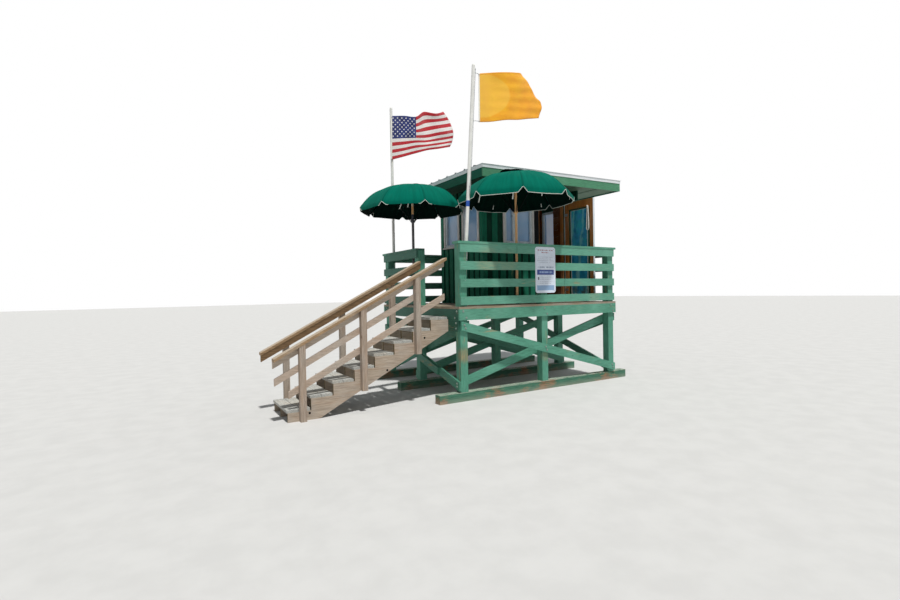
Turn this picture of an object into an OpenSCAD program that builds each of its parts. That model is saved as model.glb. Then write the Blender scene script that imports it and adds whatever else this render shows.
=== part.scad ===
// Lifeguard tower: a railed timber deck on skids with a stair, a hut with a hinged door,
// two sunshades and two flagpoles. X runs along the front, Y to the back, Z up.
// The origin is the middle of the posts' plan, on the ground.

/* [Platform] */
// Outer width over the posts, along X
deck_w = 3660; // [3000:10:4600]
// Outer depth over the posts, along Y
deck_d = 2940; // [2500:10:3800]
// Height of the walking surface above the ground
deck_h = 1560; // [1200:10:2000]
// Side of the square posts
post_s = 140; // [90:1:180]
// Thickness of planks and framing boards
board_t = 38; // [25:1:50]
// Width of planks and braces
board_w = 140; // [110:1:180]
// Gap between deck planks
plank_gap = 5; // [3:1:12]
// Height of the rim boards and joists
rim_h = 184; // [140:1:230]
// Side of the skid timbers
skid_s = 150; // [120:1:200]
// Overhang of a skid past the posts
skid_over = 410; // [100:5:600]
// Front edge of the middle row of posts
mid_row_y = 1430; // [1200:5:1900]
// Joists on each side of the middle line
joists_half = 4; // [3:1:6]

/* [Guard rail] */
// Height of the rail cap's top above the deck
rail_h = 1077; // [950:1:1200]
// Vertical pitch of the rail boards
rail_pitch = 291; // [240:1:330]
// Width of the rail cap
cap_w = 185; // [140:1:230]
// Inner edge of the stair opening, from the front
opening_d = 1430; // [1000:5:1600]
// Side of the slim post at the end of the right rail
end_post_s = 85; // [70:1:100]

/* [Stair] */
// Number of rises, one more than the treads
rises = 9; // [7:1:11]
// Going of each tread
going = 333; // [260:1:360]
// Distance of the near stringer from the front of the posts
stair_y = 320; // [200:5:420]
// Overall width over the stringers
stair_w = 880; // [700:5:1050]
// Height of the stringer's top end
stringer_end = 200; // [160:1:260]
// Side of the stair posts
stair_post_s = 89; // [70:1:110]
// Height of the rail cap above the nosings
handrail_h = 850; // [750:5:950]
// Height of the handrail's edge boards
edge_board = 89; // [70:1:140]
// Height of the lower rails
low_rail = 89; // [70:1:120]

/* [Hut] */
// Width of the open deck to the left of the hut
hut_x0 = 1330; // [1300:5:1600]
// Distance of the hut from the right end of the deck
hut_in_right = 60; // [60:5:400]
// Depth of the open deck in front of the hut
hut_y0 = 1200; // [1150:5:1400]
// Distance of the hut from the back edge of the deck
hut_in_back = 150; // [145:5:400]
// Thickness of the walls
wall_t = 90; // [60:1:120]
// Clear width of the doorway
door_clear_w = 720; // [640:5:800]
// Clear height of the doorway
door_clear_h = 2150; // [1950:5:2200]
// Thickness of the door leaf
door_t = 48; // [36:1:52]
// Width of the door leaf, which closes over the front of the wall
leaf_w = 800; // [760:5:815]
// Height of the windows
window_h = 810; // [500:10:1000]
// Height of the wall between the windows and the roof's lower edge
lintel_h = 315; // [150:5:500]
// Thickness of the window glass
glass_t = 6; // [4:1:10]

/* [Roof] */
// Overhang of the roof on the left of the hut
roof_left = 500; // [100:5:800]
// Overhang of the roof on the right of the hut
roof_right = 870; // [100:5:1000]
// Overhang of the roof at the front of the hut
roof_front = 740; // [300:5:760]
// Overhang of the roof at the back of the hut
roof_back = 410; // [100:5:800]
// Height of the rafters' underside above the deck, at the left edge
roof_z = 2345; // [2320:5:2500]
// Slope of the roof, rising to the right
roof_rise = 0.8; // [0.5:0.1:4]
// Number of rafters
rafters = 7; // [5:1:10]
// Height of the rafters
rafter_h = 150; // [90:5:180]
// Thickness of the roof deck
sheath_t = 45; // [18:1:60]
// Pitch of the ribs in the metal sheets
rib_pitch = 320; // [200:5:400]
// Height of the ribs in the metal sheets
rib_up = 26; // [15:1:40]

/* [Sunshades] */
// Radius of the canopies at the ribs' ends
shade_r = 1045; // [900:5:1050]
// Height of the canopy rim above the deck
shade_rim = 1840; // [1700:5:2000]
// Rise of the canopy from its rim to its peak
shade_rise = 500; // [350:5:560]
// Diameter of the sunshade poles
shade_pole_d = 45; // [30:1:60]
// Thickness of the canopy cloth panels
canopy_t = 3; // [2:0.5:6]
// Radius of the vent flap on top
vent_r = 320; // [250:5:400]
// Depth of the cloth that hangs from the canopy's rim
valance_h = 60; // [30:5:120]

/* [Flagpoles] */
// Diameter of the flagpoles
flagpole_d = 60; // [40:1:80]
// Height of the flagpoles above the roof's lower edge
flagpole_over = 1755; // [1400:5:2300]
// How much higher the back flagpole ends than the front one
back_pole_more = 140; // [0:5:300]
// Lean of the front flagpole to the right
flagpole_lean = 4; // [0:0.1:6]
// Height of the plain flag at its pole
flag_a_h = 860; // [600:5:950]
// Length of the plain flag
flag_a_l = 1150; // [800:5:1300]
// Height of the striped flag at its pole
flag_b_h = 910; // [600:5:950]
// Length of the striped flag
flag_b_l = 1520; // [1000:5:1800]
// Thickness of the flag cloth
flag_t = 2; // [1:0.5:4]

/* [Sign] */
// Width of the sign plate
sign_w = 480; // [300:5:700]
// Height of the sign plate
sign_h = 830; // [500:5:900]
// Left edge of the sign plate
sign_x = 1590; // [600:5:2200]

/* [Hidden] */
$fn = 48;
deck_z = deck_h - board_t;
rim_z = deck_z - rim_h;
mid_x = (deck_w - post_s) / 2;
back_y = deck_d - post_s;
right_x = deck_w - post_s;
row_x = [0, mid_x, right_x];
row_y = [0, mid_row_y, back_y];
cap_z = deck_h + rail_h - board_t;
cap_over = 8;
rise = deck_h / rises;
slope = atan(rise / going);
stair_x = -board_t;
ledger_z = rim_z - rim_h - 2;
stringer_y = [stair_y, stair_y + (stair_w - board_t) / 2, stair_y + stair_w - board_t];
stair_post_x = [for (k = [0:2]) stair_x - 602 - k * 2.79 * going];
cap_top = handrail_h;
hut_x1 = deck_w - hut_in_right;
hut_y1 = deck_d - hut_in_back;
head_h = roof_z - lintel_h;
sill_h = head_h - window_h;
roof_x0 = hut_x0 - roof_left;
roof_x1 = hut_x1 + roof_right;
roof_y0 = hut_y0 - roof_front;
roof_y1 = hut_y1 + roof_back;
flagpole_h = roof_z + flagpole_over;
back_pole_h = flagpole_h + back_pole_more;
roof_base = deck_h + roof_z;
roof_w = (roof_x1 - roof_x0) / cos(roof_rise);
roof_l = roof_y1 - roof_y0;
wall_top = roof_z + (roof_x1 - roof_x0) * tan(roof_rise);
fascia_t = 30;
soffit_t = 9;
trim_h = 62;
fascia_drop = 20;
door_x1 = hut_x1 - wall_t;
door_x0 = door_x1 - door_clear_w;
pin_x = door_x1 + 12;
pin_y = hut_y0 - 30;
rail_gap = 30;
casing_t = 20;
hinge_z = [250, door_clear_h / 2, door_clear_h - 270];
leaf_gap = 10;
leaf_h = door_clear_h - 2 * leaf_gap;
pin_r = 5;
knuckle_r = 8;
front_w = door_x0 - hut_x0;
win_f0 = hut_x0 + front_w * 0.37;
win_f1 = hut_x0 + front_w * 0.87;
corner_in = 70;
back_trim = 90;
plank_w = 110;
plank_t = 18;
stile_w = 90;
foot_rail = 100;
head_rail = 150;
panel_in = 165;
panel_up = 140;
panel_down = 190;
skin_t = 14;
frame_w = 50;
mullion_w = 130;
side_trim = 200;

// Moves a piece from the front left post corner to the shared frame
module site() {
    translate([-deck_w / 2, -deck_d / 2, 0]) children();
}

// A box given by its two corners
module span(a, b) {
    translate(a) cube([b[0] - a[0], b[1] - a[1], b[2] - a[2]]);
}

module skids() {
    color([0.45, 0.40, 0.34]) site()
        for (y = row_y)
            translate([-skid_over, y + post_s / 2 - skid_s / 2, 0])
                cube([deck_w + 2 * skid_over - 60, skid_s, skid_s]);
}

// The middle post and the one beside the hut stop under the planks; a slim post ends the right rail
module posts() {
    color([0.25, 0.50, 0.40]) site() {
        for (i = [0:2])
            for (j = [0:2]) {
                top = (j == 1 && i > 0) ? deck_z : cap_z;
                translate([row_x[i], row_y[j], skid_s]) cube([post_s, post_s, top - skid_s]);
            }
        translate([deck_w - end_post_s, hut_y0 - rail_gap - end_post_s, deck_h])
            cube([end_post_s, end_post_s, cap_z - deck_h]);
    }
}

module rims_long() {
    color([0.30, 0.55, 0.45]) site()
        for (y = [-board_t, deck_d])
            translate([-board_t, y, rim_z]) cube([deck_w + 2 * board_t, board_t, rim_h]);
}

// Side rims, with a lower board on the left that carries the stair
module rims_side() {
    color([0.25, 0.50, 0.40]) site() {
        for (x = [-board_t, deck_w])
            translate([x, 0, rim_z]) cube([board_t, deck_d, rim_h]);
        translate([-board_t, 0, ledger_z]) cube([board_t, opening_d + post_s, rim_h]);
    }
}

module deck_joists() {
    bay = (mid_x - post_s) / (joists_half + 0.5);
    color([0.50, 0.42, 0.34]) site()
        for (s = [0, 1])
            for (k = [1:joists_half]) {
                x = post_s + k * bay - board_t / 2;
                translate([s == 0 ? x : deck_w - x - board_t, 0, rim_z])
                    cube([board_t, deck_d, rim_h]);
            }
}

// Planks along X, notched round the posts that pass through
module deck_boards() {
    span_y = deck_d + 2 * board_t;
    n = round((span_y + plank_gap) / (board_w + plank_gap));
    w = (span_y + plank_gap) / n - plank_gap;
    color([0.62, 0.52, 0.40]) site()
        difference() {
            for (k = [0:n - 1])
                translate([-board_t, -board_t + k * (w + plank_gap), deck_z])
                    cube([deck_w + 2 * board_t, w, board_t]);
            for (i = [0:2])
                for (j = [0:2])
                    if (!(j == 1 && i > 0))
                        translate([row_x[i] - 1, row_y[j] - 1, deck_z - 1])
                            cube([post_s + 2, post_s + 2, board_t + 2]);
        }
}

// A plank in the XZ plane with upright ends, its lower edge from (x0, z0) to (x1, z1)
module brace(x0, z0, x1, z1, h) {
    rotate([90, 0, 0]) linear_extrude(board_t)
        polygon([[x0, z0], [x1, z1], [x1, z1 + h], [x0, z0 + h]]);
}

// A pair of crossed planks, one on each face of a row of posts that starts at y
module cross_x(y, lo, hi) {
    h = board_w / cos(atan((hi - lo) / deck_w));
    translate([0, y, 0]) brace(0, hi - h, deck_w, lo, h);
    translate([0, y + post_s + board_t, 0]) brace(0, lo, deck_w, hi - h, h);
}

module braces_long() {
    lo = skid_s + 25;
    hi = rim_z - 12;
    color([0.30, 0.55, 0.45]) site()
        for (y = row_y)
            cross_x(y, lo, hi);
}

// A plank in the YZ plane with upright ends, its lower edge from (y0, z0) to (y1, z1)
module brace_y(x, y0, z0, y1, z1, h) {
    translate([x, 0, 0]) rotate([90, 0, 90]) linear_extrude(board_t)
        polygon([[y0, z0], [y1, z1], [y1, z1 + h], [y0, z0 + h]]);
}

// One plank on the outer faces and one on the inner faces of each side's posts
module braces_side() {
    lo = skid_s + 25;
    hi_left = ledger_z - 10;
    hi = rim_z - 12;
    h = board_w / cos(atan((hi_left - lo) / deck_d));
    color([0.22, 0.45, 0.36]) site() {
        brace_y(-board_t, 0, lo, deck_d, hi_left - h, h);
        brace_y(post_s, 0, hi - h, deck_d, lo, h);
        brace_y(deck_w, 0, hi - h, deck_d, lo, h);
        brace_y(right_x - board_t, 0, lo, deck_d, hi - h, h);
    }
}

module stringer() {
    n = rises - 1;
    steps = [for (k = [0:n - 1]) for (p = [
        [-k * going, deck_h - (k + 1) * rise - board_t],
        [-(k + 1) * going, deck_h - (k + 1) * rise - board_t]]) p];
    foot = deck_h - n * rise - board_t;
    low = deck_h - rise - board_t - stringer_end;
    heel = -low * going / rise;
    rotate([90, 0, 0]) linear_extrude(board_t)
        polygon(concat(steps, [[-n * going, 0], [heel, 0], [0, low]]));
}

module stair_stringers() {
    color([0.70, 0.62, 0.52]) site()
        for (y = stringer_y)
            translate([stair_x, y + board_t, 0]) stringer();
}

// Two boards to a tread
module stair_treads() {
    tread_gap = 6;
    nosing = 15;
    w = (going - tread_gap - 2) / 2;
    color([0.55, 0.56, 0.55]) site()
        for (k = [1:rises - 1])
            for (s = [0, 1])
                translate([stair_x - k * going + s * (w + tread_gap) - nosing,
                           stair_y, deck_h - k * rise - board_t])
                    cube([w, stair_w, board_t]);
}

function nose_z(x) = deck_h + (x - stair_x) * rise / going;

module stair_posts() {
    color([0.70, 0.62, 0.52]) site()
        for (y = [stair_y - stair_post_s, stair_y + stair_w])
            for (x = stair_post_x) {
                low = deck_h - rise - board_t - stringer_end + (x - stair_x) * rise / going;
                z0 = max(0, low - 20);
                top = nose_z(x) + cap_top - board_t / cos(slope);
                translate([x - stair_post_s / 2, y, 0]) rotate([90, 0, 0]) mirror([0, 0, 1])
                    linear_extrude(stair_post_s)
                        polygon([[0, z0], [stair_post_s, z0],
                            [stair_post_s, top + stair_post_s / 2 * tan(slope)],
                            [0, top - stair_post_s / 2 * tan(slope)]]);
            }
}

// A plank parallel to the nosings, its top edge dz above them, between two X
module sloped(x0, x1, dz, h, w) {
    rotate([90, 0, 0]) mirror([0, 0, 1]) linear_extrude(w)
        polygon([[x0, nose_z(x0) + dz - h], [x1, nose_z(x1) + dz - h],
            [x1, nose_z(x1) + dz], [x0, nose_z(x0) + dz]]);
}

stair_rail_x0 = stair_x - (rises - 1) * going - 190;
stair_rail_x1 = stair_x - 60;
near_y = stair_y;
far_y = stair_y + stair_w;

module stair_caps() {
    h = board_t / cos(slope);
    color([0.70, 0.62, 0.52]) site() {
        translate([0, near_y - stair_post_s - 5, 0])
            sloped(stair_rail_x0, stair_rail_x1, cap_top, h, board_w);
        translate([0, far_y + stair_post_s + 5 - board_w, 0])
            sloped(stair_rail_x0, stair_rail_x1, cap_top, h, board_w);
    }
}

module stair_edge_boards() {
    h = board_t / cos(slope);
    color([0.45, 0.30, 0.14]) site() {
        translate([0, near_y, 0])
            sloped(stair_rail_x0, stair_rail_x1, cap_top - h, edge_board / cos(slope), board_t);
        translate([0, far_y - board_t, 0])
            sloped(stair_rail_x0, stair_rail_x1, cap_top - h, edge_board / cos(slope), board_t);
    }
}

// Two rails between the posts, on the near side alone
module stair_low_rails() {
    h = low_rail / cos(slope);
    upper_end = stair_post_x[0] + stair_post_s / 2;
    color([0.70, 0.62, 0.52]) site()
        translate([0, near_y, 0]) {
            sloped(stair_rail_x0 + 20, upper_end, cap_top - 300, h, board_t);
            sloped(stair_rail_x0 + 210, stair_rail_x1, cap_top - 600, h, board_t);
        }
}

module rail_run(len) {
    for (k = [0:3])
        translate([0, 0, cap_z - board_w - k * rail_pitch]) cube([len, board_t, board_w]);
}

module rail_boards_long() {
    color([0.32, 0.58, 0.47]) site() {
        translate([0, -board_t, 0]) rail_run(deck_w);
        translate([0, deck_d, 0]) rail_run(deck_w);
    }
}

module rail_boards_side() {
    color([0.25, 0.50, 0.40]) site() {
        translate([0, opening_d, 0]) rotate([0, 0, 90])
            rail_run(deck_d - opening_d);
        translate([deck_w + board_t, 0, 0]) rotate([0, 0, 90]) rail_run(hut_y0 - rail_gap);
    }
}

module rail_caps_long() {
    over = cap_over;
    color([0.30, 0.55, 0.45]) site() {
        translate([-board_t - over, -board_t - over, cap_z])
            cube([deck_w + 2 * board_t + 2 * over, cap_w, board_t]);
        translate([-board_t - over, deck_d + board_t + over - cap_w, cap_z])
            cube([deck_w + 2 * board_t + 2 * over, cap_w, board_t]);
    }
}

module rail_caps_side() {
    over = cap_over;
    front = cap_w - board_t - over;
    color([0.25, 0.50, 0.40]) site() {
        translate([-board_t - over, opening_d, cap_z])
            cube([cap_w, deck_d + board_t + over - cap_w - opening_d, board_t]);
        translate([deck_w + board_t + over - 120, front, cap_z])
            cube([120, hut_y0 - rail_gap - front, board_t]);
    }
}

// The space above the sloped underside of the roof
module above_roof() {
    translate([roof_x0, roof_y0, roof_base]) rotate([0, -roof_rise, 0])
        translate([0, 0, -soffit_t]) cube([roof_w, roof_l, roof_l]);
}

// A wall between two corners with window holes cut through
module wall(a, b, holes) {
    difference() {
        span([a[0], a[1], deck_h], [b[0], b[1], deck_h + wall_top]);
        for (h = holes)
            span(h[0], h[1]);
        above_roof();
    }
}

z_sill = deck_h + sill_h;
z_head = deck_h + head_h;
hole_front = [[win_f0, hut_y0 - 50, z_sill], [win_f1, hut_y0 + wall_t + 50, z_head]];
side_y = [hut_y0 + wall_t + corner_in, hut_y1 - wall_t - corner_in];
side_mid = (side_y[0] + side_y[1]) / 2;
function side_holes(x) = [
    [[x - 50, side_y[0], z_sill], [x + wall_t + 50, side_mid - side_trim / 2, z_head]],
    [[x - 50, side_mid + side_trim / 2, z_sill], [x + wall_t + 50, side_y[1], z_head]]];
back_w = (hut_x1 - hut_x0 - 2 * wall_t - 2 * back_trim - 2 * corner_in) / 3;
function back_hole(k) = let (x = hut_x0 + wall_t + corner_in + k * (back_w + back_trim))
    [[x, hut_y1 - wall_t - 50, z_sill], [x + back_w, hut_y1 + 50, z_head]];

module hut_front_wall() {
    color([0.22, 0.45, 0.36]) site()
        wall([hut_x0, hut_y0], [door_x0, hut_y0 + wall_t], [hole_front]);
}

// A bare upright plank beside the doorway
module jamb_plank() {
    color([0.05, 0.05, 0.06]) site()
        translate([door_x0 - plank_w - 15, hut_y0 - plank_t, deck_h + 40])
            cube([plank_w, plank_t, door_clear_h - 70]);
}

module hut_door_header() {
    color([0.22, 0.45, 0.36]) site()
        difference() {
            span([door_x0, hut_y0, deck_h + door_clear_h], [door_x1, hut_y0 + wall_t, deck_h + wall_top]);
            above_roof();
        }
}

module hut_left_wall() {
    color([0.20, 0.42, 0.34]) site()
        wall([hut_x0, hut_y0 + wall_t], [hut_x0 + wall_t, hut_y1 - wall_t], side_holes(hut_x0));
}

// The right wall, with a board beyond its top corner that carries the roof's overhang
module hut_right_wall() {
    color([0.20, 0.42, 0.34]) site() {
        wall([door_x1, hut_y0], [hut_x1, hut_y1 - wall_t], side_holes(door_x1));
        difference() {
            span([hut_x1 - board_t, hut_y0 - 350, deck_h + door_clear_h + 25],
                [hut_x1, hut_y0 + 20, deck_h + wall_top]);
            above_roof();
        }
    }
}

module hut_back_wall() {
    color([0.20, 0.42, 0.34]) site()
        wall([hut_x0, hut_y1 - wall_t], [hut_x1, hut_y1], [for (k = [0:2]) back_hole(k)]);
}

// A frame lining a hole along X, set in the wall, with panes given as pairs of edges
module frame_x(x0, x1, y, panes) {
    difference() {
        span([x0, y, z_sill], [x1, y + wall_t, z_head]);
        for (p = panes)
            span([p[0], y - 1, z_sill + frame_w], [p[1], y + wall_t + 1, z_head - frame_w]);
    }
}

front_panes = [[win_f0 + frame_w, win_f0 + (win_f1 - win_f0 - mullion_w) * 0.36],
    [win_f0 + (win_f1 - win_f0 - mullion_w) * 0.36 + mullion_w, win_f1 - frame_w]];

module frame_y(y0, y1, x) {
    difference() {
        span([x, y0, z_sill], [x + wall_t, y1, z_head]);
        span([x - 1, y0 + frame_w, z_sill + frame_w], [x + wall_t + 1, y1 - frame_w, z_head - frame_w]);
    }
}

module window_frames() {
    color([0.88, 0.82, 0.72]) site() {
        frame_x(win_f0, win_f1, hut_y0, front_panes);
        for (k = [0:2])
            frame_x(back_hole(k)[0][0], back_hole(k)[1][0], hut_y1 - wall_t,
                [[back_hole(k)[0][0] + frame_w, back_hole(k)[1][0] - frame_w]]);
        for (x = [hut_x0, door_x1])
            for (h = side_holes(x))
                frame_y(h[0][1], h[1][1], x);
    }
}

module window_glass() {
    off = (wall_t - glass_t) / 2;
    color([0.75, 0.85, 0.90, 0.4]) site() {
        for (p = front_panes)
            span([p[0], hut_y0 + off, z_sill + frame_w], [p[1], hut_y0 + off + glass_t, z_head - frame_w]);
        for (k = [0:2])
            span([back_hole(k)[0][0] + frame_w, hut_y1 - wall_t + off, z_sill + frame_w],
                [back_hole(k)[1][0] - frame_w, hut_y1 - wall_t + off + glass_t, z_head - frame_w]);
        for (x = [hut_x0, door_x1])
            for (h = side_holes(x))
                span([x + off, h[0][1] + frame_w, z_sill + frame_w],
                    [x + off + glass_t, h[1][1] - frame_w, z_head - frame_w]);
    }
}

leaf_x = pin_x - 5;
leaf_y0 = pin_y - 10 - leaf_w;
panel_t = 24;

// A framed leaf with a skin on the outside; it stands open, square to the wall
module door_leaf() {
    color([0.60, 0.36, 0.14]) site()
        difference() {
            translate([leaf_x, leaf_y0, deck_h + leaf_gap]) cube([door_t, leaf_w, leaf_h]);
            translate([leaf_x - 1, leaf_y0 + stile_w, deck_h + leaf_gap + foot_rail])
                cube([door_t - skin_t + 1, leaf_w - 2 * stile_w, leaf_h - foot_rail - head_rail]);
        }
}

// The fixed half of each hinge: a plate on the wall, two knuckles and the pin
module hinge_pins() {
    color([0.75, 0.76, 0.78]) site()
        for (z = hinge_z)
            translate([pin_x, pin_y, deck_h + z]) {
                translate([0, 0, -50]) cylinder(r = pin_r, h = 100);
                for (e = [-50, 30])
                    translate([0, 0, e]) {
                        cylinder(r = knuckle_r, h = 20);
                        translate([0, 2, 0]) cube([14, 8, 20]);
                    }
                translate([12, 4, -50]) cube([32, 6, 100]);
            }
}

// A board on the wall beside the doorway that carries the hinges
module door_casing() {
    x0 = pin_x + 10;
    color([0.75, 0.62, 0.48]) site()
        translate([x0, hut_y0 - casing_t, deck_h + 20])
            cube([hut_x1 - x0, casing_t, door_clear_h]);
}

// The moving half of each hinge: a plate on the leaf and a knuckle round the pin
module hinge_leaves() {
    color([0.75, 0.76, 0.78]) site()
        for (z = hinge_z)
            translate([pin_x, pin_y, deck_h + z - 28])
                difference() {
                    union() {
                        cylinder(r = knuckle_r, h = 56);
                        translate([-10, -14, 0]) cube([5, 14, 56]);
                        translate([-11, -90, 0]) cube([6, 80, 56]);
                    }
                    translate([0, 0, -1]) cylinder(r = pin_r + 0.6, h = 58);
                }
}

module door_panel() {
    color([0.20, 0.50, 0.55]) site()
        translate([leaf_x + door_t - skin_t - panel_t, leaf_y0 + panel_in, deck_h + leaf_gap + panel_up])
            cube([panel_t, leaf_w - 2 * panel_in, leaf_h - panel_up - panel_down]);
}

// Places a piece on the sloped roof plane, with its origin at the front left corner
module on_roof() {
    site() translate([roof_x0, roof_y0, roof_base]) rotate([0, -roof_rise, 0]) children();
}

roof_up = rafter_h + sheath_t;

// Rafters along the slope
module roof_rafters() {
    color([0.45, 0.52, 0.42]) on_roof()
        for (k = [0:rafters - 1])
            translate([fascia_t, fascia_t + k * (roof_l - 2 * fascia_t - board_t) / (rafters - 1), 0])
                cube([roof_w - 2 * fascia_t, board_t, rafter_h]);
}

module roof_fascias_long() {
    color([0.33, 0.58, 0.45]) on_roof()
        for (y = [0, roof_l - fascia_t])
            translate([0, y, -soffit_t - fascia_drop])
                cube([roof_w, fascia_t, roof_up - trim_h + soffit_t + fascia_drop]);
}

module roof_fascias_side() {
    color([0.10, 0.38, 0.30]) on_roof()
        for (x = [0, roof_w - fascia_t])
            translate([x, fascia_t, -soffit_t - fascia_drop])
                cube([fascia_t, roof_l - 2 * fascia_t, roof_up - trim_h + soffit_t + fascia_drop]);
}

// The roof deck over the rafters and the soffit sheet under them
module roof_sheathing() {
    color([0.45, 0.52, 0.42]) on_roof()
        for (s = [[rafter_h, sheath_t], [-soffit_t, soffit_t]])
            translate([fascia_t, fascia_t, s[0]])
                cube([roof_w - 2 * fascia_t, roof_l - 2 * fascia_t, s[1]]);
}

// A metal edge strip round the roof deck, on top of the fascias
module roof_trim() {
    over = 8;
    color([0.80, 0.84, 0.84]) on_roof()
        difference() {
            translate([-over, -over, roof_up - trim_h])
                cube([roof_w + 2 * over, roof_l + 2 * over, trim_h]);
            translate([fascia_t, fascia_t, roof_up - trim_h - 1])
                cube([roof_w - 2 * fascia_t, roof_l - 2 * fascia_t, trim_h + 2]);
        }
}

// One sheet with hollow ribs along the slope
module roof_metal() {
    n = floor((roof_l - 60) / rib_pitch);
    edge = (roof_l - (n - 1) * rib_pitch) / 2;
    color([0.85, 0.88, 0.88]) on_roof()
        translate([-20, 0, roof_up]) rotate([90, 0, 90]) linear_extrude(roof_w + 50)
            difference() {
                union() {
                    translate([-18, 0]) square([roof_l + 36, 4]);
                    for (k = [0:n - 1])
                        translate([edge + k * rib_pitch, 0])
                            polygon([[-34, 0], [34, 0], [15, rib_up], [-15, rib_up]]);
                }
                for (k = [0:n - 1])
                    translate([edge + k * rib_pitch, 0])
                        polygon([[-28, -1], [28, -1], [13, rib_up - 4], [-13, rib_up - 4]]);
            }
}

shade_at = [[1340, 172], [190, 1992]];
shade_turn = [-10, 8];
rim_abs = deck_h + shade_rim;
peak = rim_abs + shade_rise;

// Rings where the bent ribs and the cloth change slope, as parts of the radius and of the rise
dome = [[0, 0], [0.48, 0.17], [0.77, 0.53], [1, 1]];
function fall(r) = (shade_rise - valance_h) * lookup(r / shade_r, dome);
bend = [for (d = dome) d[0] * shade_r];
function slope(m) = (fall(bend[m + 1]) - fall(bend[m])) / (bend[m + 1] - bend[m]) / cos(22.5);

// The cloth drops away on both sides of a rib, so each length lies under its lower edge
function rib_drop(m) = 0.15 + rib_w / 2 * sin(22.5) * slope(min(m + 1, 2));

hub_r = 41;
rib_h = 19;
rib_w = 12;
runner = shade_rise + 180;

// Puts a piece of a sunshade at both places, turned about the pole
module at_shades(z) {
    for (n = [0, 1])
        translate([shade_at[n][0], shade_at[n][1], z]) rotate([0, 0, shade_turn[n]]) children();
}

// Each pole carries an upper hub for the ribs and a lower one for the struts
module shade_poles() {
    color([0.55, 0.38, 0.22]) site()
        for (p = shade_at)
            translate([p[0], p[1], deck_h]) {
                cylinder(d = shade_pole_d, h = shade_rim + shade_rise + 25);
                translate([0, 0, shade_rim + shade_rise + 45]) sphere(d = 60);
                translate([0, 0, shade_rim + shade_rise - 55]) cylinder(r = hub_r, h = 38);
                translate([0, 0, shade_rim + shade_rise - runner - 20]) cylinder(r = hub_r, h = 40);
            }
}

// A bar in the plane of a radius, its outline given as radius and height
module radial(w, outline) {
    rotate([90, 0, 0]) translate([0, 0, -w / 2]) linear_extrude(w) polygon(outline);
}

// Bent ribs in three lengths, with a strut from the lower hub to each
module shade_ribs() {
    tip = shade_r - 25;
    mid = dome[1][0] * shade_r;
    under = rib_drop(0) + rib_h;
    start = hub_r + 0.2;
    bends = [start, mid, dome[2][0] * shade_r, tip];
    color([0.60, 0.45, 0.28]) site()
        at_shades(peak)
            for (k = [0:7])
                    rotate([0, 0, 22.5 + 45 * k]) {
                        for (m = [0:2]) {
                            a = bends[m] + (m > 0 ? 0.2 : 0);
                            b = bends[m + 1];
                            top = rib_drop(m);
                            radial(rib_w, [[a, -fall(a) - top - rib_h], [b, -fall(b) - top - rib_h],
                                [b, -fall(b) - top], [a, -fall(a) - top]]);
                        }
                        radial(10, [[start, -runner - 8], [mid, -fall(mid) - under - 17.2],
                            [mid, -fall(mid) - under - 0.2], [start, -runner + 9]]);
                    }
}

// A ring of eight flat cloth panels, from radius r0 to radius r1, falling by f0 to f1
module gores(r0, r1, f0, f1) {
    a0 = r0 * cos(22.5);
    a1 = r1 * cos(22.5);
    tilt = atan((f1 - f0) / (a1 - a0));
    len = (a1 - a0) / cos(tilt);
    w0 = r0 * sin(22.5) - 1.5;
    w1 = r1 * sin(22.5) - 1.5;
    for (k = [0:7])
        rotate([0, 0, 45 * k]) translate([a0, 0, -f0]) rotate([0, tilt, 0])
            linear_extrude(canopy_t)
                polygon([[0.3, -w0], [len - 0.3, -w1], [len - 0.3, w1], [0.3, w0]]);
}

module shade_canopies() {
    rings = [150, dome[1][0] * shade_r, dome[2][0] * shade_r, shade_r];
    color([0.00, 0.42, 0.33]) site()
        at_shades(peak) {
            for (m = [0:2])
                gores(rings[m], rings[m + 1], fall(rings[m]), fall(rings[m + 1]));
            gores(shade_r, shade_r + 4, fall(shade_r), fall(shade_r) + valance_h);
        }
}

module shade_vents() {
    color([0.00, 0.42, 0.33]) site()
        at_shades(peak + 20)
            gores(shade_pole_d / 2 / cos(22.5), vent_r, 0, fall(vent_r) * 0.95);
}

pole_a = [192, 186];
pole_b = [235, deck_d + board_t + cap_over + flagpole_d / 2];

// A pole from its foot at z0, with a ball on top and two ties to the flag's edge
module pole_shape(z0, top, flag_z, flag_h) {
    d = 10;
    translate([0, 0, z0]) cylinder(d = flagpole_d, h = top - z0);
    translate([0, 0, top]) sphere(d = flagpole_d);
    for (z = [flag_z + 15, flag_z + flag_h - 15 - d])
        translate([flagpole_d / 2 - 5, -d / 2, z]) cube([tie_l + 5, d, d]);
}

module flagpoles() {
    color([0.90, 0.90, 0.88]) site() {
        translate([pole_a[0], pole_a[1], deck_h])
            difference() {
                rotate([0, flagpole_lean, 0]) pole_shape(-20, flagpole_h, flag_a_z, flag_a_h);
                translate([-200, -200, -100]) cube([400, 400, 100]);
            }
        translate([pole_b[0], pole_b[1], deck_h])
            pole_shape(rim_z - deck_h, back_pole_h, flag_b_z, flag_b_h);
    }
}

// A waving strip in plan: length len, n waves of height amp
module wave(len, n, amp) {
    pts = 24;
    up = [for (k = [0:pts]) [k * len / pts, amp * sin(360 * n * k / pts) * k / pts]];
    dn = [for (k = [pts:-1:0]) [k * len / pts, amp * sin(360 * n * k / pts) * k / pts + flag_t]];
    polygon(concat(up, dn));
}

tie_l = 45;
flag_a_z = flagpole_h - 90 - flag_a_h;
flag_b_z = back_pole_h - 140 - flag_b_h;

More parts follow.
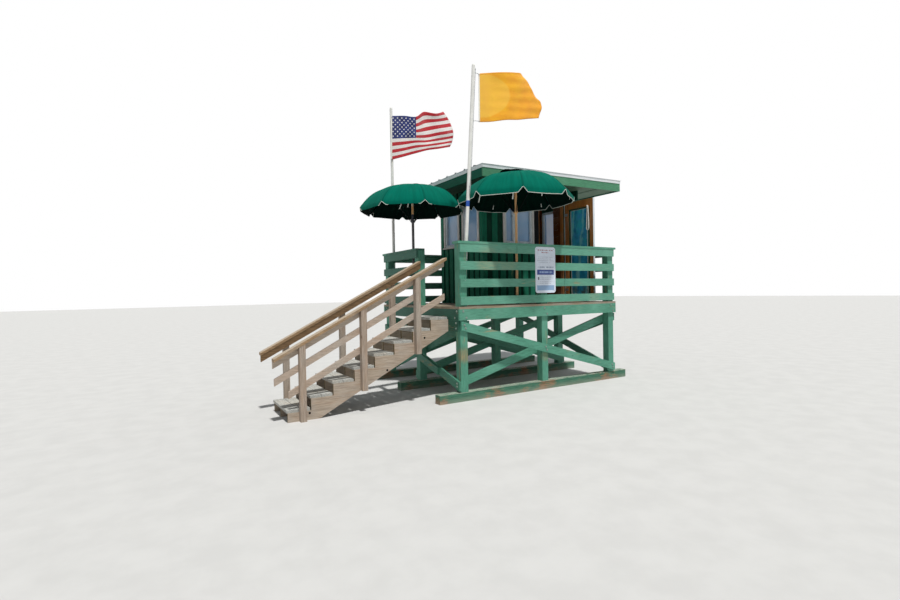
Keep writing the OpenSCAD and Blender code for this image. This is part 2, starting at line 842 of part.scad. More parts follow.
module flag_plain() {
    z = flag_a_z;
    color([0.95, 0.68, 0.05]) site()
        translate([pole_a[0], pole_a[1], deck_h]) rotate([0, flagpole_lean, 0])
            translate([flagpole_d / 2 + tie_l, -flag_t / 2, z])
                linear_extrude(flag_a_h) wave(flag_a_l, 1.6, 60);
}

module flag_striped() {
    z = flag_b_z;
    color([0.75, 0.12, 0.15]) site()
        translate([pole_b[0] + flagpole_d / 2 + tie_l, pole_b[1] - flag_t / 2, deck_h + z])
            linear_extrude(flag_b_h) wave(flag_b_l, 2.2, 70);
}

module sign_plate() {
    t = 6;
    r = 50;
    color([0.82, 0.82, 0.88]) site()
        translate([sign_x, -board_t - t, cap_z - sign_h - 10]) rotate([90, 0, 0]) mirror([0, 0, 1])
            linear_extrude(t) {
                difference() {
                    square([sign_w, sign_h]);
                    for (x = [0, sign_w])
                        for (y = [0, sign_h])
                            translate([x - r, y - r]) square([2 * r, 2 * r]);
                }
                for (x = [r, sign_w - r])
                    for (y = [r, sign_h - r])
                        translate([x, y]) circle(r = r);
            }
}

skids();
posts();
rims_long();
rims_side();
deck_joists();
deck_boards();
braces_long();
braces_side();
stair_stringers();
stair_treads();
stair_posts();
stair_caps();
stair_edge_boards();
stair_low_rails();
rail_boards_long();
rail_boards_side();
rail_caps_long();
rail_caps_side();
hut_front_wall();
jamb_plank();
hut_door_header();
hut_left_wall();
hut_right_wall();
hut_back_wall();
window_frames();
window_glass();
door_casing();
hinge_pins();
hinge_leaves();
door_leaf();
door_panel();
roof_rafters();
roof_fascias_long();
roof_fascias_side();
roof_sheathing();
roof_trim();
roof_metal();
shade_poles();
shade_ribs();
shade_canopies();
shade_vents();
flagpoles();
flag_plain();
flag_striped();
sign_plate();
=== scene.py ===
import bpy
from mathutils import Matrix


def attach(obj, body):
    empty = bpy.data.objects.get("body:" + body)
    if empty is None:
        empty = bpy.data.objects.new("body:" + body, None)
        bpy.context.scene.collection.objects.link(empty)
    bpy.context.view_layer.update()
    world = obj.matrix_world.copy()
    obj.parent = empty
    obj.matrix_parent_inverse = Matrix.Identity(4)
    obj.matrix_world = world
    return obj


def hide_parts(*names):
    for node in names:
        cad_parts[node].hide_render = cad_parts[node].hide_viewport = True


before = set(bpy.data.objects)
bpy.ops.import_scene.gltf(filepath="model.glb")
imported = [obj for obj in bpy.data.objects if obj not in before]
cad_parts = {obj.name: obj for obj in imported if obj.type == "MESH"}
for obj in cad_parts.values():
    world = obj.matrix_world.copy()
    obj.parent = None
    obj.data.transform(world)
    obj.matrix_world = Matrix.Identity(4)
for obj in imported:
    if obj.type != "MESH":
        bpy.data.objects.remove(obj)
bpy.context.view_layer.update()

import math

import bmesh
import bpy
from mathutils import Matrix, Vector, noise

# Sizes are in millimetres from the deck's front left corner, as in the part's source.
DECK_W, DECK_D, DECK_H = 3660, 2940, 1560
CAP_Z = 2599
ROW_X = (0, 1760, 3520)
ROW_Y = (0, 1430, 2800)
RAIL_Z = tuple(CAP_Z - 70 - 291 * k for k in range(4))
HUT = (1330, 1200, 3600, 2790)
SILL, HEAD = 2780, 3590
FRONT_WINDOW = (1870, 2600)
SIDE_WINDOWS = ((1360, 1895), (2095, 2630))
BACK_WINDOWS = ((1490, 2080), (2170, 2760), (2850, 3440))
DOORWAY = (2790, 3510, 3710)
ROOF = (830, 460, 3905)
ROOF_W, ROOF_L, ROOF_TOP, ROOF_TILT = 3640, 2740, 195, math.radians(0.8)
STAIR_X, STAIR_Y, STAIR_W = -38, 320, 880
RISE, GOING = DECK_H / 9, 333
SHADES = ((1340, 172), (190, 1992))
SHADE_TURN = (-10, 8)
SHADE_R, SHADE_PEAK, DOME_RISE, VALANCE = 1045, 3900, 440, 84
LEAF = (3517, 360, 3565, 1160)
POLE_A, POLE_B = (192, 186), (235, 3016)
LEAN = math.radians(4)
SIGN = (1590, 1759, 480, 830)
# The middle lines of the braces that the bolts follow: a foot's height and a slope.
FRONT_BRACE, BACK_BRACE = (1252, -0.2744), (248, 0.2744)
LEFT_BRACE, RIGHT_BRACE = (248.7, 0.2788), (1252.3, -0.3415)
YELLOW_FLAG, STRIPED_FLAG = (1.42, 0.84), (1.50, 0.93)  # metres
TOWER, DOOR = "tower", "door"


def site(x, y, z):
    """A point in the shared frame, in metres."""
    return Vector((x - DECK_W / 2, y - DECK_D / 2, z)) / 1000


def on_roof(u, v, w):
    """A point of the sloped roof plane, u along the slope and w above it."""
    c, s = math.cos(ROOF_TILT), math.sin(ROOF_TILT)
    return (ROOF[0] + u * c - w * s, ROOF[1] + v, ROOF[2] + u * s + w * c)


def on_pole(x, y, h):
    """A point in the front flagpole's own leaning frame."""
    c, s = math.cos(LEAN), math.sin(LEAN)
    return (POLE_A[0] + x * c + h * s, POLE_A[1] + y, DECK_H - x * s + h * c)


def brace_height(brace, at):
    return brace[0] + brace[1] * at


def under_roof(x):
    return ROOF[2] - 9 + (x - ROOF[0]) * math.tan(ROOF_TILT)


# ---- Finishes


def tint(r, g, b):
    """Linear colour from the 0-255 values of a paint swatch."""
    return tuple(
        (c / 255 / 12.92 if c / 255 <= 0.04045 else ((c / 255 + 0.055) / 1.055) ** 2.4)
        for c in (r, g, b)
    ) + (1.0,)


class Amount:
    """A number that varies over a surface. Arithmetic on it adds Math nodes."""

    def __init__(self, finish, socket):
        self.finish, self.socket = finish, socket

    def math(self, operation, *values, clamp=False):
        return self.finish.node(
            "Math", {"operation": operation, "use_clamp": clamp}, dict(enumerate(values))
        )

    def __add__(self, other):
        return self.math("ADD", self, other)

    def __sub__(self, other):
        return self.math("SUBTRACT", self, other)

    def __rsub__(self, other):
        return self.math("SUBTRACT", other, self)

    def __mul__(self, other):
        return self.math("MULTIPLY", self, other)

    def __truediv__(self, other):
        return self.math("DIVIDE", self, other)

    def __gt__(self, other):
        return self.math("GREATER_THAN", self, other)

    def __lt__(self, other):
        return self.math("LESS_THAN", self, other)

    __radd__, __rmul__ = __add__, __mul__

    def whole(self):
        return self.math("FLOOR", self)

    def part(self):
        return self.math("FRACT", self)

    def size(self):
        return self.math("ABSOLUTE", self)

    def sine(self):
        return self.math("SINE", self)

    def top(self, other):
        return self.math("MAXIMUM", self, other)

    def low(self, other):
        return self.math("MINIMUM", self, other)

    def between(self, low, high):
        """1 where the value lies between two limits, 0 elsewhere."""
        return (self > low) * (self < high)

    def ease(self, low, high):
        """0 below low, 1 above high, smooth between them."""
        return self.finish.node(
            "MapRange",
            {"interpolation_type": "SMOOTHSTEP"},
            {"Value": self, "From Min": low, "From Max": high, "To Min": 0.0, "To Max": 1.0},
        )


class Finish:
    """One material, mixed from nodes."""

    def __init__(self, name):
        self.material = bpy.data.materials.new(name)
        self.material.use_nodes = True
        self.tree = self.material.node_tree
        self.tree.nodes.clear()

    def node(self, kind, settings=None, values=None, out=0):
        made = self.tree.nodes.new("ShaderNode" + kind)
        for key, value in (settings or {}).items():
            setattr(made, key, value)
        for key, value in (values or {}).items():
            if isinstance(value, Amount):
                self.tree.links.new(value.socket, made.inputs[key])
            else:
                made.inputs[key].default_value = value
        return Amount(self, made.outputs[out] if len(made.outputs) else None)

    def place(self):
        return self.node("TexCoord", out="Object")

    def axis(self, n):
        return self.node("SeparateXYZ", values={"Vector": self.place()}, out=n)

    def facing(self, n):
        """How far the surface faces along an axis."""
        face = self.node("NewGeometry", out="Normal")
        return self.node("SeparateXYZ", values={"Vector": face}, out=n)

    def cloth(self):
        """The piece's own UV map in metres: whole, across and down."""
        flat = self.node("TexCoord", out="UV")
        return flat, *(self.node("SeparateXYZ", values={"Vector": flat}, out=n) for n in (0, 1))

    def spread(self, squeeze, offset=(0, 0, 0)):
        """The place, scaled differently along each axis."""
        scaled = self.node(
            "VectorMath", {"operation": "MULTIPLY"}, {0: self.place(), 1: squeeze}
        )
        return self.node("VectorMath", {"operation": "ADD"}, {0: scaled, 1: offset})

    def noise(self, where, scale, detail=4.0, rough=0.55):
        return self.node(
            "TexNoise",
            values={"Vector": where, "Scale": scale, "Detail": detail, "Roughness": rough},
        )

    def mix(self, factor, first, second):
        return self.node(
            "Mix", {"data_type": "RGBA"}, {0: factor, 6: first, 7: second}, out=2
        )

    def per_board(self, axis, pitch, start=0.0):
        """A random number for each board of a row, from its place across the row."""
        index = ((self.axis(axis) - start) / pitch).whole()
        return self.node("TexWhiteNoise", {"noise_dimensions": "1D"}, {"W": index})

    def patch(self, centre, radius):
        """1 at a point of the object, fading to 0 at a radius."""
        gap = self.node(
            "VectorMath",
            {"operation": "DISTANCE"},
            {0: self.place(), 1: tuple(site(*centre))},
            out="Value",
        )
        return 1 - gap.ease(radius * 0.0004, radius * 0.001)

    def shade(self, colour, rough, bump=None, depth=0.001, **fixed):
        """Ends the material in a surface shader. Fixed values go straight on its sockets."""
        values = {"Base Color": colour, "Roughness": rough}
        values.update({key.replace("_", " "): value for key, value in fixed.items()})
        if bump is not None:
            values["Normal"] = self.node(
                "Bump", values={"Strength": 0.6, "Distance": depth, "Height": bump}
            )
        shader = self.node("BsdfPrincipled", values=values)
        self.node("OutputMaterial", values={"Surface": shader})
        return self.material


def squeeze(along, across=16.0):
    return tuple(1.0 if n == along else across for n in range(3))


def painted_timber(
    name, paint, along, pitch=None, wear=0.35, stains=(), seed=0.0, bare=(176, 150, 112), gloss=0.3,
):
    """Green paint over planks: grain shows through, chalky fading, worn bare spots."""
    f = Finish(name)
    shift = (seed * 3.1, seed * 1.7, seed * 2.3)
    grain = f.noise(f.spread(squeeze(along), shift), 7.0, 7.0, 0.62)
    streak = f.noise(f.spread(squeeze(along, 6.0), shift), 1.6, 5.0)
    cloud = f.noise(f.place(), 1.3, 3.0)
    fine = f.noise(f.place(), 90.0, 3.0)
    deep = tint(*(c * 0.78 for c in paint))
    chalk = tint(*(min(255, c * 0.9 + 38) for c in paint))
    colour = f.mix(grain.ease(0.30, 0.62), deep, tint(*paint))
    colour = f.mix(cloud.ease(0.45, 0.75) * 0.45, colour, chalk)
    if pitch:
        board = f.per_board(*pitch)
        colour = f.mix(board.ease(0.1, 1.0) * 0.22, colour, chalk)
        colour = f.mix((1 - board).ease(0.75, 1.0) * 0.25, colour, deep)
    knots = f.node(
        "TexVoronoi", values={"Vector": f.spread(squeeze(along, 2.6), shift), "Scale": 1.9}
    )
    colour = f.mix((1 - knots.ease(0.02, 0.075)) * 0.55, colour, tint(*(c * 0.6 for c in paint)))
    gone = (streak * 0.6 + grain * 0.4).ease(0.64 - wear * 0.2, 0.72 - wear * 0.2)
    for centre, radius, strength in stains:
        gone = gone.top(f.patch(centre, radius) * grain.ease(0.30, 0.60) * strength)
    bare_wood = f.mix(grain.ease(0.3, 0.7), tint(*(c * 0.68 for c in bare)), tint(*bare))
    colour = f.mix(gone * 0.8, colour, bare_wood)
    rough = 0.48 + grain * 0.22 + gone * 0.2
    return f.shade(
        colour, rough, grain * 1.0 + fine * 0.12 - gone * 0.5, 0.0016, Specular_IOR_Level=gloss,
    )


def bare_timber(
    name, light, dark, along, grey=0.0, pitch=None, seed=0.0, sap=(150, 104, 60), gloss=0.5,
):
    """Unpainted planks: long grain, knots, sun-bleached patches."""
    f = Finish(name)
    shift = (seed * 2.1, seed * 3.7, seed * 1.3)
    grain = f.noise(f.spread(squeeze(along, 22.0), shift), 5.0, 8.0, 0.65)
    rings = f.noise(f.spread(squeeze(along, 9.0), shift), 2.2, 4.0, 0.5)
    cloud = f.noise(f.place(), 1.7, 3.0)
    colour = f.mix(grain.ease(0.32, 0.66), tint(*dark), tint(*light))
    colour = f.mix(rings.ease(0.5, 0.72) * 0.5, colour, tint(*sap))
    colour = f.mix(cloud.ease(0.42, 0.72) * (0.25 + grey), colour, tint(178, 176, 168))
    if pitch:
        board = f.per_board(*pitch)
        colour = f.mix(board * 0.38, colour, tint(*(c * 0.72 for c in dark)))
    knots = f.node(
        "TexVoronoi", values={"Vector": f.spread(squeeze(along, 2.4), shift), "Scale": 2.1}
    )
    colour = f.mix((1 - knots.ease(0.03, 0.09)) * 0.8, colour, tint(84, 52, 28))
    split = f.noise(f.spread(squeeze(along, 40.0), shift), 3.0, 3.0)
    cracks = 1 - (split - 0.5).size().ease(0.0, 0.012)
    colour = f.mix(cracks * cloud.ease(0.3, 0.6) * 0.6, colour, tint(60, 44, 30))
    return f.shade(
        colour, 0.72 + grain * 0.2, grain * 1.0 - cracks * 0.8, 0.002, Specular_IOR_Level=gloss,
    )


def skid_timber():
    """Thick painted runners, scuffed to brown wood with a pale worn top edge."""
    f = Finish("skid_weathered_green")
    grain = f.noise(f.spread(squeeze(0, 18.0)), 6.0, 7.0, 0.62)
    cloud = f.noise(f.place(), 2.3, 5.0, 0.6)
    low = 1 - f.axis(2).ease(0.0, 0.11)
    green = f.mix(grain.ease(0.3, 0.65), tint(42, 86, 68), tint(74, 128, 104))
    wood = f.mix(grain.ease(0.3, 0.7), tint(86, 60, 40), tint(160, 128, 96))
    gone = (cloud * 0.6 + grain * 0.4 + low * 0.04).ease(0.535, 0.60)
    colour = f.mix(gone, green, wood)
    edge = f.axis(2).ease(0.138, 0.149) * grain.ease(0.4, 0.6)
    colour = f.mix(edge * 0.7, colour, tint(205, 204, 190))
    colour = f.mix(low * 0.35, colour, tint(176, 172, 158))
    return f.shade(colour, 0.85, grain * 1.0 + cloud * 0.6, 0.003)


def tread_timber():
    """Treads: grey-white, sanded by feet, paler along the middle."""
    f = Finish("treads_weathered_grey")
    grain = f.noise(f.spread(squeeze(1, 20.0)), 6.0, 7.0, 0.62)
    cloud = f.noise(f.place(), 3.1, 4.0)
    colour = f.mix(grain.ease(0.3, 0.68), tint(118, 118, 114), tint(196, 197, 192))
    colour = f.mix(cloud.ease(0.5, 0.75) * 0.5, colour, tint(168, 150, 124))
    sand = f.noise(f.place(), 60.0, 3.0).ease(0.52, 0.66) * cloud.ease(0.35, 0.6)
    colour = f.mix(sand * 0.5, colour, tint(226, 222, 212))
    middle = (f.axis(1) + 0.71).size()
    colour = f.mix((1 - middle.ease(0.15, 0.42)) * 0.3, colour, tint(206, 204, 196))
    return f.shade(colour, 0.88, grain * 1.0 + sand * 0.3, 0.002)


def roof_sheet(name, low, high):
    """Coated metal sheet: off-white, chalky streaks down the slope, faint rust in patches."""
    f = Finish(name)
    streak = f.noise(f.spread((1.2, 14.0, 14.0)), 2.4, 5.0, 0.6)
    cloud = f.noise(f.place(), 2.0, 4.0)
    rust = (f.noise(f.place(), 9.0, 6.0, 0.7) * 0.7 + streak * 0.3).ease(0.60, 0.70)
    colour = f.mix(streak.ease(0.35, 0.7), tint(*low), tint(*high))
    colour = f.mix(cloud.ease(0.5, 0.8) * 0.3, colour, tint(160, 168, 172))
    colour = f.mix(rust * 0.5, colour, tint(150, 104, 70))
    return f.shade(
        colour, 0.38 + streak * 0.2 + rust * 0.3, streak * 0.3 + rust, 0.0006, Metallic=0.1,
    )


def pole_timber(name, light, dark, scuffed=(214, 190, 150), sleeve=False, gloss=0.5):
    """Turned poles and bars, grain along their length. The left pole has a dark sleeve, and a paler
    top inside its canopy as painted light.
    """
    f = Finish(name)
    grain = f.noise(f.spread(squeeze(2, 30.0)), 5.0, 6.0, 0.6)
    scuff = f.noise(f.place(), 12.0, 5.0).ease(0.56, 0.68)
    colour = f.mix(grain.ease(0.35, 0.65), tint(*dark), tint(*light))
    colour = f.mix(scuff * 0.5, colour, tint(*scuffed))
    if sleeve:
        left = f.axis(0) < -1.2
        colour = f.mix(
            left * (f.axis(2) < 3.36), colour, f.mix(grain, tint(36, 42, 52), tint(60, 66, 80)),
        )
        # Painted light: the left pole's top, inside the canopy, is paler.
        colour = f.mix(left * (f.axis(2) > 3.52), colour, tint(224, 206, 178))
    return f.shade(
        colour, 0.5 + scuff * 0.3, grain, 0.0006, Coat_Weight=0.4 * gloss, Specular_IOR_Level=gloss,
    )


def weave(across, down, scale):
    """Fine crossed threads."""
    return (across * scale).sine() * 0.5 + (down * scale).sine() * 0.5


def canopy_cloth(name, bright, dull, stripe):
    """Woven canopy: sun-bleached streaks from the peak outwards, darker folds by the seams."""
    f = Finish(name)
    flat, across, down = f.cloth()
    threads = weave(across, down, 520.0)
    stretched = f.node("VectorMath", {"operation": "MULTIPLY"}, {0: flat, 1: (9.0, 1.4, 1.0)})
    streak = f.noise(stretched, 1.5, 5.0, 0.6)
    cloud = f.noise(f.place(), 3.0, 4.0)
    panel = (across / 0.8).part() - 0.5
    seam = panel.size().ease(0.470, 0.492)
    colour = f.mix(streak.ease(0.35, 0.70), tint(*dull), tint(*bright))
    colour = f.mix(cloud.ease(0.52, 0.8) * stripe, colour, tint(96, 176, 148))
    colour = f.mix(seam * 0.45, colour, tint(*(c * 0.45 for c in dull)))
    colour = f.mix(down.ease(0.9, 1.12) * 0.25, colour, tint(*(c * 0.7 for c in dull)))
    return f.shade(
        colour, 0.9, threads * 0.6 + streak * 0.5 + seam * 0.8, 0.0007,
        Sheen_Weight=0.02, Specular_IOR_Level=0.03,
    )


def flag_cloth_plain():
    """Yellow bunting: thin weave, a tone that follows the creases as painted shade, a pale patch
    near the hoist as painted light, sewn hem lines.
    """
    f = Finish("flag_yellow_bunting")
    flat, across, down = f.cloth()
    threads = weave(across, down, 900.0)
    stretched = f.node("VectorMath", {"operation": "MULTIPLY"}, {0: flat, 1: (2.0, 3.5, 1.0)})
    crease = f.noise(stretched, 2.2, 5.0)
    ray = across * 0.9 + (1 - down / YELLOW_FLAG[1]) * 0.7
    # Painted light: a paler patch near the hoist.
    aside, above = (across - 0.13) / 0.50, (down - 0.45) / 0.38
    painted_light_patch = 1 - (aside * aside + above * above).ease(0.86, 1.04)
    # Painted shade: the yellow is deeper in the creases.
    colour = f.mix(crease.ease(0.35, 0.7), tint(244, 166, 6), tint(252, 184, 10))
    colour = f.mix(painted_light_patch * 0.6, colour, tint(252, 202, 70))
    colour = f.mix(ray.ease(0.9, 1.5) * 0.35, colour, tint(250, 158, 4))
    hem = (down < 0.018).top(down > 0.822).top(across > 1.398).top(across < 0.03)
    line = (down - 0.024).size().low((down - 0.816).size()).low((across - 1.392).size())
    colour = f.mix(hem * 0.35, colour, tint(214, 140, 14))
    colour = f.mix((1 - line.ease(0.0008, 0.002)) * 0.5, colour, tint(170, 104, 8))
    colour = f.mix(across < 0.03, colour, tint(240, 238, 228))
    return f.shade(colour, 0.8, threads * 0.3 + crease * 0.9 + hem * 0.6, 0.0012, Sheen_Weight=0.2)


def flag_cloth_striped():
    """National bunting: thirteen stripes, a canton with fifty stars, sewn heading, and painted
    shade and highlights along the creases.
    """
    f = Finish("flag_striped_bunting")
    flat, across, down = f.cloth()
    threads = weave(across, down, 900.0)
    stretched = f.node("VectorMath", {"operation": "MULTIPLY"}, {0: flat, 1: (2.5, 3.0, 1.0)})
    crease = f.noise(stretched, 2.4, 5.0)
    height = STRIPED_FLAG[1]
    stripe = down / height * 13.0
    red = (stripe / 2.0).part() < 0.5
    seam = 1 - (stripe.part() - 0.5).size().ease(0.47, 0.492)
    cloth = f.mix(red, tint(236, 232, 230), tint(186, 24, 38))
    canton_w, canton_h = 0.60, 0.5008
    inside = (across < canton_w) * (down > height - canton_h)
    column = across / canton_w * 12.0
    row = (height - down) / canton_h * 10.0
    cell = (column + 0.5).whole() + (row + 0.5).whole()
    even = (cell / 2.0).part() < 0.25
    dx = ((column + 0.5).part() - 0.5) * (canton_w / 12.0)
    dy = ((row + 0.5).part() - 0.5) * (canton_h / 10.0)
    reach = f.node("Math", {"operation": "SQRT"}, {0: dx * dx + dy * dy})
    turn = f.node("Math", {"operation": "ARCTAN2"}, {0: dx, 1: dy * -1.0})
    fifth = ((turn / (math.tau / 5) + 0.5).part() - 0.5).size() * 2.0
    star = (reach < (0.0195 - fifth * 0.0118)) * even
    margin = column.between(0.5, 11.5) * row.between(0.5, 9.5)
    # Painted shade: the blue is darker in the creases.
    blue = f.mix(crease.ease(0.3, 0.7), tint(14, 26, 84), tint(30, 48, 122))
    field = f.mix(star * margin, blue, tint(240, 240, 240))
    colour = f.mix(inside, cloth, field)
    colour = f.mix((1 - seam) * (1 - inside) * 0.25, colour, tint(110, 40, 50))
    # Painted highlight: the crests of the creases are paler.
    colour = f.mix(crease.ease(0.55, 0.8) * 0.18, colour, tint(200, 196, 200))
    colour = f.mix(across < 0.03, colour, tint(242, 240, 232))
    fray = (across > 1.486) * (threads > 0.1)
    colour = f.mix(fray * 0.6, colour, tint(226, 200, 196))
    return f.shade(colour, 0.8, threads * 0.3 + crease * 0.8 + seam * 0.4, 0.0012, Sheen_Weight=0.2)


def sign_print():
    """Generic notice: a pale sheet with title rules, grey rules and blue bands, no lettering."""
    f = Finish("sign_printed_sheet")
    x, z = f.axis(0), f.axis(2)
    corner = site(SIGN[0], 0, SIGN[1])
    u, v = (x - corner.x) / (SIGN[2] / 1000), (z - corner.z) / (SIGN[3] / 1000)
    dirt = f.noise(f.place(), 14.0, 6.0, 0.65)
    run = f.noise(f.spread((60.0, 1.0, 2.0)), 2.0, 3.0)
    base = f.mix(dirt.ease(0.4, 0.8), tint(226, 236, 250), tint(206, 218, 234))
    word = f.noise(f.spread((90.0, 1.0, 1.0)), 1.0, 1.0).ease(0.42, 0.46)
    title = (v.between(0.918, 0.942) * u.between(0.12, 0.88)).top(
        v.between(0.868, 0.892) * u.between(0.30, 0.70)
    ) * word
    colour = f.mix(title * 0.8, base, tint(150, 62, 80))
    rules = None
    for low, a, b in (
        (0.775, 0.14, 0.86), (0.735, 0.14, 0.80), (0.695, 0.10, 0.90), (0.655, 0.14, 0.74),
        (0.320, 0.24, 0.88), (0.285, 0.24, 0.80), (0.235, 0.12, 0.86), (0.200, 0.12, 0.78),
    ):
        rule = v.between(low, low + 0.012) * u.between(a, b)
        rules = rule if rules is None else rules.top(rule)
    colour = f.mix(rules * word * 0.55, colour, tint(120, 124, 150))
    tag = v.between(0.545, 0.575) * (u.between(0.12, 0.46).top(u.between(0.54, 0.90)))
    colour = f.mix(tag * word * 0.7, colour, tint(70, 100, 140))
    band = v.between(0.395, 0.505) * u.between(0.08, 0.92)
    colour = f.mix(band, colour, tint(22, 58, 140))
    core = v.between(0.430, 0.472) * u.between(0.16, 0.84)
    colour = f.mix(core * word, colour, tint(150, 176, 220))
    mark = v.between(0.285, 0.345) * u.between(0.12, 0.18)
    colour = f.mix(mark, colour, tint(60, 66, 90))
    pale = v.between(0.055, 0.165) * u.between(0.07, 0.93)
    colour = f.mix(pale * 0.85, colour, tint(116, 158, 200))
    edge = ((u - 0.5).size().ease(0.470, 0.492)).top((v - 0.5).size().ease(0.484, 0.496))
    colour = f.mix(edge * 0.6, colour, tint(236, 238, 246))
    colour = f.mix(run.ease(0.58, 0.7) * (1 - v) * 0.25, colour, tint(150, 140, 130))
    return f.shade(colour, 0.32 + dirt * 0.2, dirt, 0.0003, Coat_Weight=0.2)


def panel_art():
    """Generic mottled blue-green panel with soft swells, pale bands down its sides and grey worn
    spots near its foot.
    """
    f = Finish("door_panel_mottled")
    y, z = f.axis(1), f.axis(2)
    mid = site(0, 760, 0).y
    swell = f.noise(f.spread((1.0, 2.6, 1.1)), 2.4, 6.0, 0.62)
    spot = f.noise(f.spread((1.0, 1.0, 1.0), (3.0, 1.0, 2.0)), 9.0, 5.0, 0.6)
    high = z.ease(1.7, 3.5)
    colour = f.mix(swell.ease(0.36, 0.64), tint(12, 118, 168), tint(56, 190, 204))
    colour = f.mix(high * spot.ease(0.42, 0.66), colour, tint(60, 164, 214))
    colour = f.mix((1 - high) * swell.ease(0.4, 0.7) * 0.8, colour, tint(26, 122, 206))
    wave = (y * 22.0 + swell * 7.0 + z * 3.0).sine()
    colour = f.mix(wave.ease(0.55, 1.0) * 0.55, colour, tint(150, 222, 222))
    low = 1 - z.ease(1.7, 2.0)
    colour = f.mix(low * spot.ease(0.4, 0.6), colour, tint(70, 90, 96))
    side = (y - mid).size().ease(0.222, 0.228)
    colour = f.mix(side, colour, tint(196, 222, 216))
    return f.shade(colour, 0.4, swell, 0.0008, Coat_Weight=0.15)


def pane_glass():
    # Painted reflection: the pale sky blue stands in for the sky mirrored in the panes.
    f = Finish("window_pane_painted_sky_reflection")
    smear = f.noise(f.place(), 1.6, 3.0, 0.5)
    colour = f.mix(smear.ease(0.4, 0.7), tint(160, 208, 255), tint(186, 220, 255))
    return f.shade(colour, 0.03 + smear * 0.03, Alpha=0.58 + smear * 0.1, IOR=1.45)


def coated(name, colours, rough, worn, scale=8.0, **fixed):
    """Enamel or plated parts with chips, smears and dulled spots."""
    f = Finish(name)
    smear = f.noise(f.place(), scale, 5.0, 0.6)
    chip = f.noise(f.place(), scale * 3.3, 6.0, 0.7).ease(0.66, 0.70)
    colour = f.mix(smear.ease(0.35, 0.7), tint(*colours[0]), tint(*colours[1]))
    colour = f.mix(chip * worn, colour, tint(*colours[2]))
    return f.shade(colour, rough + smear * 0.15 + chip * 0.2, smear * 0.4 - chip, 0.0004, **fixed)


def twisted_rope(name, light, dark):
    f = Finish(name)
    twist = f.node(
        "TexWave", {"bands_direction": "DIAGONAL"},
        {"Vector": f.place(), "Scale": 34.0, "Distortion": 1.2},
    )
    dirt = f.noise(f.place(), 20.0, 5.0)
    colour = f.mix(twist, tint(*dark), tint(*light))
    colour = f.mix(dirt.ease(0.5, 0.75) * 0.4, colour, tint(170, 158, 136))
    return f.shade(colour, 0.85, twist, 0.0015)


def handrail_edge_timber():
    """Boards under the handrails: pale on the near side as painted light, darker brown on the far
    side as painted shade.
    """
    f = Finish("handrail_edges_painted_light_and_shade")
    grain = f.noise(f.spread(squeeze(0, 22.0)), 5.0, 8.0, 0.65)
    knots = f.node("TexVoronoi", values={"Vector": f.spread(squeeze(0, 2.4)), "Scale": 2.3})
    # Painted light on the near boards, pale as if lit, and painted shade on the far boards, darker
    # brown.
    near = f.axis(1) < -0.7
    far_painted_shade = f.mix(grain.ease(0.3, 0.66), tint(84, 62, 38), tint(136, 108, 76))
    pale = f.mix(grain.ease(0.3, 0.66), tint(176, 160, 144), tint(206, 192, 176))
    colour = f.mix(near, far_painted_shade, pale)
    colour = f.mix((1 - knots.ease(0.03, 0.08)) * 0.7, colour, tint(92, 62, 36))
    return f.shade(colour, 0.8, grain, 0.002)


def handrail_cap_timber():
    """Handrail caps: bleached on top, brown along their edges."""
    f = Finish("handrail_caps")
    grain = f.noise(f.spread(squeeze(0, 22.0)), 5.0, 8.0, 0.65)
    cloud = f.noise(f.place(), 1.7, 3.0)
    top = f.mix(grain.ease(0.3, 0.66), tint(154, 134, 110), tint(192, 176, 154))
    side = f.mix(grain.ease(0.3, 0.66), tint(128, 102, 72), tint(174, 144, 110))
    colour = f.mix(f.facing(2).ease(0.5, 0.7), side, top)
    colour = f.mix(cloud.ease(0.45, 0.72) * 0.35, colour, tint(188, 180, 168))
    cracks = 1 - (f.noise(f.spread(squeeze(0, 40.0)), 3.0, 3.0) - 0.5).size().ease(0.0, 0.012)
    colour = f.mix(cracks * 0.5, colour, tint(84, 58, 34))
    return f.shade(colour, 0.8, grain - cracks, 0.002)


def notched_timber():
    """Notched side boards: pale and pinkish; their cut faces are darker brown with a sawn texture,
    as painted shade.
    """
    f = Finish("stringers")
    grain = f.noise(f.spread(squeeze(0, 22.0)), 5.0, 8.0, 0.65)
    rings = f.noise(f.spread(squeeze(0, 9.0)), 2.2, 4.0, 0.5)
    cloud = f.noise(f.place(), 1.7, 3.0)
    board = f.mix(grain.ease(0.32, 0.66), tint(146, 130, 114), tint(190, 174, 156))
    board = f.mix(rings.ease(0.5, 0.72) * 0.45, board, tint(170, 138, 112))
    board = f.mix(cloud.ease(0.42, 0.72) * 0.35, board, tint(172, 170, 166))
    # Painted shade: faces that don't face along Y, the notch cuts, are darker brown.
    sawn = f.noise(f.spread((3.0, 14.0, 3.0)), 5.0, 5.0)
    rough = f.mix(sawn.ease(0.35, 0.65), tint(84, 72, 44), tint(124, 108, 72))
    colour = f.mix(f.facing(1).size().ease(0.4, 0.6), rough, board)
    return f.shade(colour, 0.82 + grain * 0.1, grain, 0.002)


def level_floor():
    f = Finish("pale_floor")
    grit = f.noise(f.place(), 3.0, 6.0)
    colour = f.mix(grit.ease(0.3, 0.7), tint(204, 204, 203), tint(210, 210, 209))
    return f.shade(colour, 0.95)


green_front = painted_timber(
    "green_paint_front_boards", (96, 162, 138), 0, (2, 0.291, 1.586), 0.25,
    stains=[
        ((560, -38, 2303), 330, 0.55), ((980, -38, 2300), 300, 0.4), ((3100, -38, 1660), 200, 0.3),
    ],
)
green_long = painted_timber("green_paint_along_front", (90, 156, 132), 0, None, 0.30, seed=1.0)
